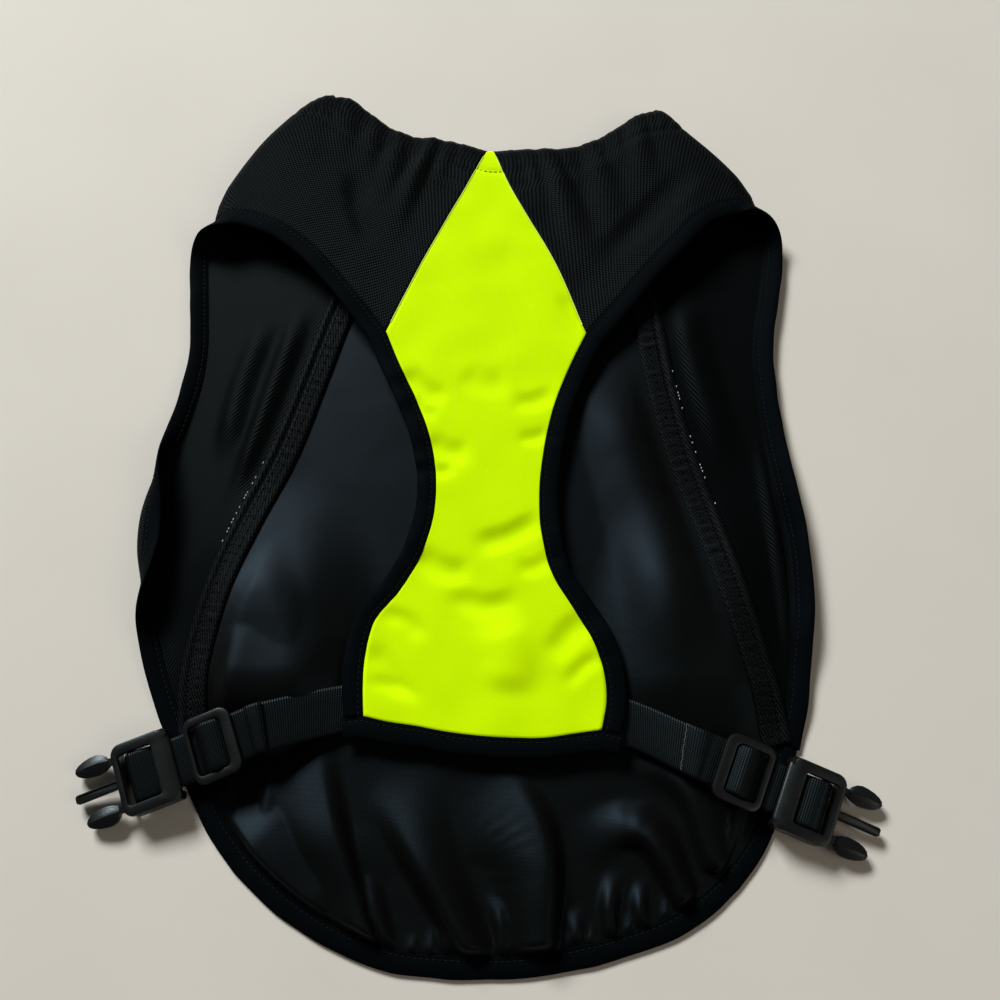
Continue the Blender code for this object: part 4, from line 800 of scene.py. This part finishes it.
def flat_edge(line, height_at):
    """Frames along an edge that lies flat, with the tape going out to its right."""
    step = unit(np.gradient(line, axis=0))
    outward = np.column_stack([step[:, 1], -step[:, 0], np.zeros(len(line))])
    return np.column_stack([line, height_at(line[:, 0], line[:, 1])]), outward, straight_up(len(line))


def binding_look(uv, x, y):
    grain, cloud = speckle(uv, 0.6), speckle(uv, 9.0)
    colour = (grain * 0.5 + cloud * 0.5).mix((0.0002, 0.0005, 0.0006), (0.0010, 0.0019, 0.0022))
    return colour, y.wave(0.8) * 0.35 + x.wave(0.9) * 0.25 + grain * 0.6, 0.12


binding = cloth_finish("binding_black", 0.75, 0.03, (0.6, 0.8, 1.0), 0.0, binding_look)
BANDS = {f"armhole_{hand}": armhole_edge(hand) for hand in ("left", "right")}

run_on = BINDING_WIDTH + 0.6
hem = smooth_curve(CHEST_HEM, 61)
before = np.linspace(hem[0] + (-run_on, -1.2), hem[0], 6)[:-1]
after = np.linspace(hem[-1], hem[-1] + (run_on, -2.6), 6)[1:]
BANDS["chest_hem"] = flat_edge(np.concatenate([before, hem, after]), front_height)
tail_sides = smooth_curve(TAIL_LEFT, 32), smooth_curve(TAIL_RIGHT, 36)[::-1]
tail_edge = np.concatenate([tail_sides[0], smooth_curve(TAIL_BOTTOM, 120)[1:-1], tail_sides[1]])
BANDS["tail"] = flat_edge(tail_edge, back_height)
for name, (origins, outward, upward) in BANDS.items():
    tape = band(f"{name}_tape", origins, outward, upward, binding)
    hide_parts(f"binding_{name}")

# THE STITCHING AND THE SEAM ALLOWANCES
# Twin needle lines hold each back seam's overlocked allowance down on the lining, and a line of
# stitches runs along every binding and under the neck casing. The thread is black, dull polyester.

SEAM_STRIP_WIDTH = 17.0
STRIP_COLUMNS = 24
STRIP_FROM_ROW = 18
STRIP_LIFT, STRIP_THICK = 0.55, 0.7
LADDER_PITCH, LADDER_AT, LADDER_HALF, LADDER_HEIGHT = 4.6, 0.36, 0.42, 0.6
OVERLOCK_AT, OVERLOCK_HALF, OVERLOCK_HEIGHT = 0.84, 0.17, 1.5
GATHERED = {"left": 0.7, "right": 1.4}
STITCH_LINES = (0.08, 0.32, 0.55, 0.66)
ZIGZAG, STRIP_EDGE = (0.70, 0.98), 0.99
# Rows of the seam edge where a few stitches are painted pale: a painted highlight standing in for glints of
# light on the black thread
GLINT_ROWS = {"left": (88, 122), "right": (66, 112)}
GLINT_CHANCE = 0.3
THREAD_RADIUS = 0.28
STITCH_ENDS = np.array([0.12, 0.32, 0.68, 0.88])
STITCH_DIPS = np.array([-0.35, 0.22, 0.22, -0.35])


def strip_line(rows_of_side):
    line = rows_of_side[2][STRIP_FROM_ROW:]
    step = unit(softened(np.gradient(line, axis=0), 8))
    return line, np.column_stack([-step[:, 1], step[:, 0]])


def strip_place(rows_of_side, hand, seed):
    """Places the allowance on the lining: a flat band, a ladder of thread and the overlocked edge."""
    line, outward = strip_line(rows_of_side)
    taper = np.linspace(1.0, 0.9, len(line))
    run = run_along(line)
    mesh_side = 1.0 if hand == "right" else -1.0

    def place(columns, rows):
        i = rows.astype(int)
        share = columns / STRIP_COLUMNS - 0.5
        plan = line[i] + outward[i] * (share * SEAM_STRIP_WIDTH * taper[i])[:, None]
        base = back_height(plan[:, 0], plan[:, 1]) + CLOTH / 2
        from_mesh = 0.5 + share * mesh_side * np.sign(outward[0, 0])
        phase = run[i] * 2 * math.pi / LADDER_PITCH + 4.0 * rumple(run[i], share * 2, 11.0, seed)
        ladder = GATHERED[hand] * LADDER_HEIGHT * np.sin(phase) * bell((from_mesh - LADDER_AT) / LADDER_HALF)
        knotted = 1.0 + 0.5 * rumple(plan[:, 0], plan[:, 1], 1.6, seed)
        overlock = OVERLOCK_HEIGHT * bell((from_mesh - OVERLOCK_AT) / OVERLOCK_HALF) * knotted
        flat_band = smoothstep(0.02, 0.12, from_mesh) * smoothstep(0.66, 0.56, from_mesh)
        rough = 0.12 * rumple(plan[:, 0], plan[:, 1], 3.0, seed)
        height = base + STRIP_LIFT + flat_band + overlock + ladder + rough
        return np.column_stack([plan, height]), np.column_stack([share * SEAM_STRIP_WIDTH, run[i]])

    return place, len(line) - 1


def sewn(name, lines, finish):
    """Stitches along lines: short lengths of thread that dip into the cloth at both ends."""
    stitches = []
    for line, normals, pitch in lines:
        run = run_along(line)
        for k in range(int(run[-1] / pitch)):
            ends = (STITCH_ENDS + k) * pitch
            points = np.stack([np.interp(ends, run, line[:, a]) for a in range(3)], axis=1)
            lift = np.stack([np.interp(ends, run, normals[:, a]) for a in range(3)], axis=1)
            stitches.append(points + lift * STITCH_DIPS[:, None])
    return corded(name, stitches, THREAD_RADIUS, finish)


def thread_finish(name, low, high, roughness):
    made, start, shader = new_finish(name, roughness, 0.08)
    speckle(object_place(start), 0.0011, 1.0).mix(low, high).feed(shader, "Base Color")
    return made


black_thread = thread_finish("thread_black", (0.001, 0.0012, 0.0013), (0.0045, 0.0052, 0.0056), 0.6)
# Pale thread for a few seam-edge stitches: a painted highlight, standing in for glints of light on the black
# thread
glint_painted_thread = thread_finish("thread_painted_glint", (0.25, 0.26, 0.27), (0.6, 0.61, 0.62), 0.35)

lines = []
for name, (origins, outward, upward) in BANDS.items():
    for side_up in (1, -1):
        surface = origins + outward * STITCH_AT + upward * (band_half(STITCH_AT) * side_up)
        lines.append((surface, upward * side_up, STITCH_PITCH))
binding_stitches = sewn("binding_stitches", lines, black_thread)

allowance_mesh = inner_mesh_finish("mesh_black_allowance", (0.0085, 0.0095, 0.0100))
chance = random.Random(5)
lines, glints = [], []
for hand, rows_of_side, sign in (("left", LEFT_ROWS, -1), ("right", RIGHT_ROWS, 1)):
    place, count = strip_place(rows_of_side, hand, 11.0 + sign)
    strip = piece(f"seam_allowance_{hand}", laid(STRIP_COLUMNS, count, place), allowance_mesh)
    walled(strip, STRIP_THICK)
    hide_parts(f"seam_strip_{hand}")
    every = np.arange(count + 1, dtype=float)
    mesh_first = sign * strip_line(rows_of_side)[1][0, 0] > 0

    def on_strip(share, rows, lift):
        """Points at shares of the strip's width from the mesh, raised a little for the thread."""
        points = place((share if mesh_first else 1 - share) * STRIP_COLUMNS, rows)[0]
        return points + (0.0, 0.0, lift)

    for share in STITCH_LINES:
        lines.append((on_strip(np.full(count + 1, share), every, 0.4), straight_up(count + 1), 2.6))
    loops = on_strip(np.tile(ZIGZAG, count), np.repeat(every, 2)[1:-1], 0.55)
    lines.append((loops, straight_up(len(loops)), 2.1))
    edge = on_strip(np.full(count + 1, STRIP_EDGE), every, 0.5)
    # A few random stitches on the seam edge get the pale thread: painted glints of light
    for row in range(*GLINT_ROWS[hand]):
        if chance.random() < GLINT_CHANCE:
            glints.append((edge[row : row + 2], straight_up(2), 1.3))
seam_stitches = sewn("seam_stitches", lines, black_thread)
seam_glints = sewn("seam_painted_glint_stitches", glints, glint_painted_thread)

casing = on_front(NECK_LINE[4:-4] - (0.0, CASING))
neck_stitches = sewn("neck_stitches", [(casing, straight_up(len(casing)), STITCH_PITCH)], black_thread)

# THE STRAPS
# One length of ribbed 25 mm webbing at each lower corner of the chest. It is sewn under the hem,
# weaves through the slider, goes round the buckle's bar and comes back under itself to a cut end.

Side = namedtuple("Side", "name sign strap_start slider plug free_end")
HANDS = [
    Side(
        "left", -1, strap_start=(-63.0, -132.0, 6.8), slider=(-134.3, -151.0, 14.0, 200.3, 12.0),
        plug=(-167.2, -163.8, 9.0, 200.3, 7.0), free_end=28.0,
    ),
    Side(
        "right", 1, strap_start=(64.0, -139.0, 6.8), slider=(130.1, -163.8, 12.0, -22.5, 6.0),
        plug=(162.0, -177.8, 8.8, -22.5, 7.0), free_end=33.0,
    ),
]
WEBBING_WIDTH, WEBBING_THICK, LAYER_GAP = 25.0, 1.4, 0.3
BAR_RADIUS, BAR_AT, BAR_HALF = 2.2, 5.4, 14.6
LOOP_RADIUS = BAR_RADIUS + LAYER_GAP + WEBBING_THICK / 2
SLIDER_RUN = [
    (-27.0, -2.8), (-19.0, -2.9), (-10.8, -3.1), (-6.4, -2.0), (-3.4, 1.0), (0.0, 2.3), (3.4, 1.0),
    (6.4, -2.0), (10.8, -3.1),
]
PLUG_RUN = [(-19.0, -2.8), (-13.0, -2.6), (-4.0, -2.9), (BAR_AT, -LOOP_RADIUS)]
PLUG_RETURN = [(1.6, 3.0), (-2.4, 2.1), (-6.6, 0.6), (-12.0, -0.7)]
LOOP_ANGLES = (-68, -45, -20, 5, 30, 55, 80, 105)
RUN_STEPS = 6
FRAY, FRAY_POINTS = 0.35, 30
WEB_FACE = [
    (-1.0, 0.0), (-0.97, 0.8), (-0.85, 1.0), (-0.5, 1.0), (0.0, 1.0), (0.5, 1.0), (0.85, 1.0), (0.97, 0.8),
]
WEB_SECTION = np.array([*WEB_FACE, *[(-across, -up) for across, up in WEB_FACE], WEB_FACE[0]])


def posed(x, y, z, yaw, pitch):
    """A pose on the table: X points out along the strap, and pitch lowers the outer end."""
    turn = Matrix.Rotation(math.radians(yaw), 4, "Z") @ Matrix.Rotation(math.radians(pitch), 4, "Y")
    return Matrix.Translation((x, y, z)) @ turn


def through(points, steps):
    """Points along a smooth curve through control points, with so many steps between each two."""
    points = [points[0] * 2 - points[1], *points, points[-1] * 2 - points[-2]]
    made = []
    for a, b, c, d in zip(points, points[1:], points[2:], points[3:]):
        for step in range(steps):
            t = step / steps
            bend, twist = a * 2 - b * 5 + c * 4 - d, b * 3 - a - c * 3 + d
            made.append((b * 2 + (c - a) * t + bend * t**2 + twist * t**3) / 2)
    return [*made, points[-2]]


def strap_run(side):
    """Middle points and width directions of the webbing, from the chest corner to the cut end."""
    slider_pose, plug_pose = posed(*side.slider), posed(*side.plug)
    start = Vector(side.strap_start)
    leave, chest_width = Vector((side.sign, 0, 0)), Vector((0, 1, 0))
    slider_width, plug_width = (pose.to_3x3() @ chest_width * side.sign for pose in (slider_pose, plug_pose))
    places = [start, start + leave * 12.0]
    places += [slider_pose @ Vector((x, 0, z)) for x, z in SLIDER_RUN]
    places += [plug_pose @ Vector((x, 0, z)) for x, z in PLUG_RUN]
    widths = [chest_width, chest_width, chest_width.lerp(slider_width, 0.6)]
    widths += [slider_width] * (len(SLIDER_RUN) - 1) + [plug_width] * len(PLUG_RUN)
    base, base_width = through(places, RUN_STEPS), through(widths, RUN_STEPS)
    loop = []
    for angle in LOOP_ANGLES:
        turn = math.radians(angle)
        round_bar = Vector((math.cos(turn), 0, math.sin(turn))) * LOOP_RADIUS
        loop.append(plug_pose @ (Vector((BAR_AT, 0, 0)) + round_bar))
    loop += [plug_pose @ Vector((x, 0, z)) for x, z in PLUG_RETURN]
    second, second_width = [], []
    outward = slider_pose.to_3x3() @ Vector((1, 0, 0))
    middle = slider_pose @ Vector((0, 0, 0))
    for i in range(1, len(base) - 1 - 2 * RUN_STEPS):
        if (base[i] - middle).dot(outward) < -side.free_end:
            continue
        up = base_width[i].cross(base[i + 1] - base[i - 1]).normalized()
        up = up if up.z > 0 else -up
        second.append(base[i] + up * (WEBBING_THICK + LAYER_GAP))
        second_width.append(base_width[i])
    back = through([*loop, *second[::-1][:1]], 3)[:-1]
    points = base + back + second[::-1]
    widths = base_width + [plug_width] * len(back) + second_width[::-1]
    return points, [w.normalized() for w in widths]


def webbing_place(points, widths):
    spine, wide = np.array(points), np.array(widths)
    thick = unit(np.cross(np.gradient(spine, axis=0), wide))
    run = run_along(spine)

    def place(columns, rows):
        i, k = rows.astype(int), columns.astype(int)
        across, up = WEB_SECTION[k, 0] * WEBBING_WIDTH / 2, WEB_SECTION[k, 1] * WEBBING_THICK / 2
        points = spine[i] + wide[i] * across[:, None] + thick[i] * up[:, None]
        return points, np.column_stack([across, run[i]])

    return place


def webbing_look(uv, x, y):
    """Fine ribs across, gathered in lengthwise cords."""
    ribs = y.wave(1.2)
    relief = ribs * 0.6 + ribs * x.wave(1.3) * 0.25 + speckle(uv, 0.6, 1.0) * 0.15
    return relief.mix((0.0004, 0.0005, 0.0005), (0.0036, 0.0040, 0.0041)), relief, 0.22


webbing = cloth_finish("webbing_black", 0.45, 0.11, (0.6, 0.88, 1.0), 0.0, webbing_look)
fray_thread = thread_finish("thread_fray", (0.03, 0.03, 0.03), (0.12, 0.12, 0.115), 0.6)
for side in HANDS:
    points, widths = strap_run(side)
    tube = laid(len(WEB_SECTION) - 1, len(points) - 1, webbing_place(points, widths), tube=True)
    strap = piece(f"webbing_{side.name}", tube, webbing)
    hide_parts(f"strap_{side.name}")

# The right strap's cut end is frayed
across = np.linspace(-0.47, 0.47, FRAY_POINTS)[:, None] * WEBBING_WIDTH
cut_end = np.array(points[-1]) + across * np.array(widths[-1]) + (0.0, 0.0, WEBBING_THICK / 2)
cut_end[:, 0] += [chance.uniform(-FRAY, FRAY) for _ in across]
fray = sewn("strap_right_fray", [(cut_end, straight_up(FRAY_POINTS), 1.1)], fray_thread)

# THE SLIDERS AND THE BUCKLES
# Black moulded plastic, satin, with rounded edges. Each slider is a frame with a bar across it. Each
# pronged buckle half has a hood over the bar that the webbing turns round, two sprung arms and a guide.


def plastic_finish():
    made, start, shader = new_finish("plastic_black", 0.34, 0.3, (0.8, 0.95, 1.0))
    at = object_place(start)
    pits, cloud = speckle(at, 0.0009), speckle(at, 0.012)
    colour = (pits * 0.3 + cloud * 0.7).mix((0.0018, 0.0018, 0.0017), (0.0058, 0.0060, 0.0056))
    colour.feed(shader, "Base Color")
    (cloud * 0.16 + 0.28).feed(shader, "Roughness")
    bumped(shader, pits, 0.05)
    return made


LOOP_CORNER_STEPS = 7
SLIDER_OUTER = (-13.0, 13.0, -17.0, 17.0, 5.5)
SLIDER_WINDOW = (-7.3, 10.3, -12.7, 12.7, 2.6)
PLUG_OUTER = (-15.2, 15.0, -18.5, 18.5, 5.5)
PLUG_WINDOW = (-6.0, 11.6, -12.9, 12.9, 1.8)
HOOD_FROM, HOOD_LENGTH, HOOD_DROP = -4.5, 10.7, 2.6
PLUG_TOP, PLUG_LOW, HOOD_THICK = 4.5, -4.5, 2.4
PLUG_SIDES = [
    (-14.0, 14.2), (11.4, 14.2), (11.4, -14.2), (-14.0, -14.2), (-14.7, -15.2), (-14.5, -17.2),
    (-13.4, -18.3), (10.2, -18.3), (13.0, -17.2), (14.5, -14.6), (14.6, -13.0), (14.6, 13.0),
    (14.5, 14.6), (13.0, 17.2), (10.2, 18.3), (-13.4, 18.3), (-14.5, 17.2), (-14.7, 15.2),
]
PRONG_ROOT = [(-1.5, -1.6), (7.0, -1.9), (7.0, 1.9), (-1.5, 2.2)]
PRONG_LEAF = [
    (4.6, -2.2), (7.0, -3.4), (10.0, -4.0), (13.0, -4.0), (16.0, -3.6), (18.8, -2.7), (21.0, -1.2),
    (22.0, 0.7), (21.4, 2.6), (19.6, 4.0), (16.6, 5.2), (13.0, 5.9), (10.0, 6.1), (7.4, 5.4),
    (5.4, 3.8), (4.2, 1.4),
]
# Each ring of a prong's leaf: its height, its size and how far it crests along the middle
LEAF_RINGS = ((-2.0, 0.86, 0.0), (-1.2, 1.0, 0.0), (0.7, 1.0, 0.0), (0.7, 0.5, 1.0), (0.7, 0.06, 1.9))
PRONG_SPREAD, PRONG_FRONT = 12.2, 13.6
GUIDE = [(-1.5, -2.3), (23.6, -2.3), (24.6, -1.4), (24.6, 1.4), (23.6, 2.3), (-1.5, 2.3)]
GUIDE_RIDGE = [(1.5, -0.35), (23.2, -0.35), (23.2, 0.35), (1.5, 0.35)]


def rounded_loop(box, inset=0.0):
    """Points round a rectangle with rounded corners, in plan."""
    x0, x1, y0, y1, radius = box
    x0, x1, y0, y1, radius = x0 + inset, x1 - inset, y0 + inset, y1 - inset, max(radius - inset, 0.2)
    points = []
    for cx, cy, start in ((x1, y1, 0), (x0, y1, 90), (x0, y0, 180), (x1, y0, 270)):
        mx = cx - math.copysign(radius, cx - (x0 + x1) / 2)
        my = cy - math.copysign(radius, cy - (y0 + y1) / 2)
        for step in range(LOOP_CORNER_STEPS):
            turn = math.radians(start + 90.0 * step / (LOOP_CORNER_STEPS - 1))
            points.append((mx + radius * math.cos(turn), my + radius * math.sin(turn)))
    return points


def lofted(bm, rings, closed=False):
    """Joins rings of points into a skin. It comes back to its first ring if closed, and is capped if not."""
    made = [[bm.verts.new(point) for point in ring] for ring in rings]
    pairs = list(zip(made[:-1], made[1:])) + ([(made[-1], made[0])] if closed else [])
    for before, after in pairs:
        for k in range(len(before)):
            j = (k + 1) % len(before)
            bm.faces.new((before[k], before[j], after[j], after[k]))
    if not closed:
        bm.faces.new(made[0][::-1])
        bm.faces.new(made[-1])


def ring_moulding(bm, outer, window, low, top):
    """A frame round a window, with rounded edges. The heights are functions of X."""
    loops = [rounded_loop(outer, inset) for inset in (0.0, 0.0, 0.35, 1.1)]
    loops += [rounded_loop(window, -inset) for inset in (0.9, 0.3, 0.0, 0.0, 0.3, 0.9)]
    loops += [rounded_loop(outer, inset) for inset in (1.1, 0.35)]
    shares = (0.3, 0.7, 0.92, 1.0, 1.0, 0.93, 0.7, 0.3, 0.06, 0.0, 0.0, 0.08)
    rings = [[(x, y, low(x) + (top(x) - low(x)) * up) for x, y in loop] for loop, up in zip(loops, shares)]
    lofted(bm, rings, closed=True)


def plain_moulding(bm, outline, low, high, at, edge=0.5):
    """An outline raised between two heights, with its edges a little broken."""
    x_middle = sum(x for x, _ in outline) / len(outline)
    y_middle = sum(y for _, y in outline) / len(outline)
    rings = []
    for z, inset in ((low, edge), (low + edge, 0.0), (high - edge, 0.0), (high, edge)):
        ring = []
        for x, y in outline:
            x -= math.copysign(min(inset, abs(x - x_middle)), x - x_middle)
            y -= math.copysign(min(inset, abs(y - y_middle)), y - y_middle)
            ring.append((at[0] + x, at[1] + y, z))
        rings.append(ring)
    lofted(bm, rings)


def hood_top(x):
    return PLUG_TOP - HOOD_DROP * max(0.0, (HOOD_FROM - x) / HOOD_LENGTH) ** 2


def slider_moulding():
    bm = bmesh.new()
    ring_moulding(bm, SLIDER_OUTER, SLIDER_WINDOW, lambda x: 0.0, lambda x: 3.2 - 0.004 * x * x)
    bar = [(-1.5, -13.5), (1.5, -13.5), (1.5, 13.5), (-1.5, 13.5)]
    plain_moulding(bm, bar, -0.9, 1.1, (0.0, 0.0), 0.4)
    return bm


def plug_moulding():
    """The pronged half: a frame with a curved hood, two sprung arms with leaf-shaped heads, and a guide."""
    bm = bmesh.new()
    ring_moulding(bm, PLUG_OUTER, PLUG_WINDOW, lambda x: hood_top(x) - HOOD_THICK, hood_top)
    lofted(bm, [[(x, y, z) for x, y in PLUG_SIDES] for z in (PLUG_LOW, -2.0, 0.0, PLUG_TOP - 1.6)])
    turns = [math.radians(30 * k) for k in range(12)]
    bar = [(BAR_AT + BAR_RADIUS * math.cos(turn), BAR_RADIUS * math.sin(turn)) for turn in turns]
    lofted(bm, [[(x, y, z) for x, z in bar] for y in (-BAR_HALF, BAR_HALF)])
    plain_moulding(bm, GUIDE, -1.5, 1.4, (PRONG_FRONT, 0.0), 0.35)
    for y in (-1.6, 1.6):
        plain_moulding(bm, GUIDE_RIDGE, 1.2, 2.0, (PRONG_FRONT, y), 0.2)
    for way in (-1, 1):
        root = [(x, way * y) for x, y in PRONG_ROOT]
        plain_moulding(bm, root, -1.5, 0.9, (PRONG_FRONT, way * PRONG_SPREAD), 0.4)
        leaf = []
        for z, spread, crest in LEAF_RINGS:
            ring = []
            for x, y in PRONG_LEAF:
                rise = crest * math.sin(math.pi * min(max((x - 3.4) / 20.5, 0.0), 1.0)) ** 0.7
                at_x = PRONG_FRONT + 4.0 + (x - 4.0) * (0.9 + 0.1 * spread)
                ring.append((at_x, way * (PRONG_SPREAD + 1.0 + (y - 1.0) * spread), z + rise))
            leaf.append(ring)
        lofted(bm, leaf)
    return bm


plastic = plastic_finish()
MOULDING_EDGE = math.radians(38)
for side in HANDS:
    mouldings = ("slider", slider_moulding(), side.slider), ("buckle", plug_moulding(), side.plug)
    for kind, made, pose in mouldings:
        bmesh.ops.recalc_face_normals(made, faces=made.faces)
        made.transform(posed(*pose))
        moulding = piece(f"{kind}_{side.name}_moulding", made, plastic)
        moulding.data.set_sharp_from_angle(angle=MOULDING_EDGE)
        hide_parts(f"{kind}_{side.name}")
    for node, finish in ((f"socket_{side.name}", plastic), (f"socket_tab_{side.name}", webbing)):
        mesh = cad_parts[node].data
        mesh.materials.clear()
        mesh.materials.append(finish)

# THE TABLE, THE LIGHT AND THE CAMERA
# A plain pale table, one broad soft light beyond the neck and to the left, and a weak warm fill. The
# camera stands 20 degrees off the vertical, towards the tail.

floor_bm = bmesh.new()
bmesh.ops.create_grid(floor_bm, x_segments=1, y_segments=1, size=2.0)
floor_mesh = bpy.data.meshes.new("table")
floor_bm.to_mesh(floor_mesh)
floor_bm.free()
table = in_scene("table", floor_mesh)
stone, start, shader = new_finish("table_stone", 0.6, 0.06)
cloud = speckle(object_place(start), 0.12, 4.0)
cloud.mix((0.545, 0.518, 0.464), (0.60, 0.573, 0.518)).feed(shader, "Base Color")
table.data.materials.append(stone)


def soft_light(name, position, aim, size, watts, colour):
    light = bpy.data.lights.new(name, "AREA")
    light.shape = "RECTANGLE"
    light.size, light.size_y = size
    light.energy = watts
    light.color = colour
    obj = in_scene(name, light)
    obj.location = position
    obj.rotation_euler = (Vector(aim) - Vector(position)).to_track_quat("-Z", "Y").to_euler()


soft_light("window", (-2.3, 3.6, 3.0), (0, 0, 0), (2.2, 1.4), 455.0, (0.97, 0.99, 1.0))
soft_light("ceiling", (2.0, -1.2, 1.9), (0, 0, 0), (1.6, 1.6), 16.0, (1.0, 0.88, 0.74))
world = bpy.context.scene.world or bpy.data.worlds.new("room")
bpy.context.scene.world = world
world.use_nodes = True
background = world.node_tree.nodes["Background"]
background.inputs["Color"].default_value = (1.0, 0.97, 0.94, 1.0)
background.inputs["Strength"].default_value = 0.06
bpy.context.scene.view_settings.view_transform = "Standard"

ELEVATION = math.radians(70)
DISTANCE = 0.61
aim = Vector((0.01164, -0.01135, 0.0))
camera = in_scene("camera", bpy.data.cameras.new("camera"))
camera.data.lens = 39.6
camera.data.sensor_width = 36.0
camera.location = aim + DISTANCE * Vector((0, -math.cos(ELEVATION), math.sin(ELEVATION)))
camera.rotation_euler = (math.pi / 2 - ELEVATION, 0, 0)
bpy.context.scene.camera = camera
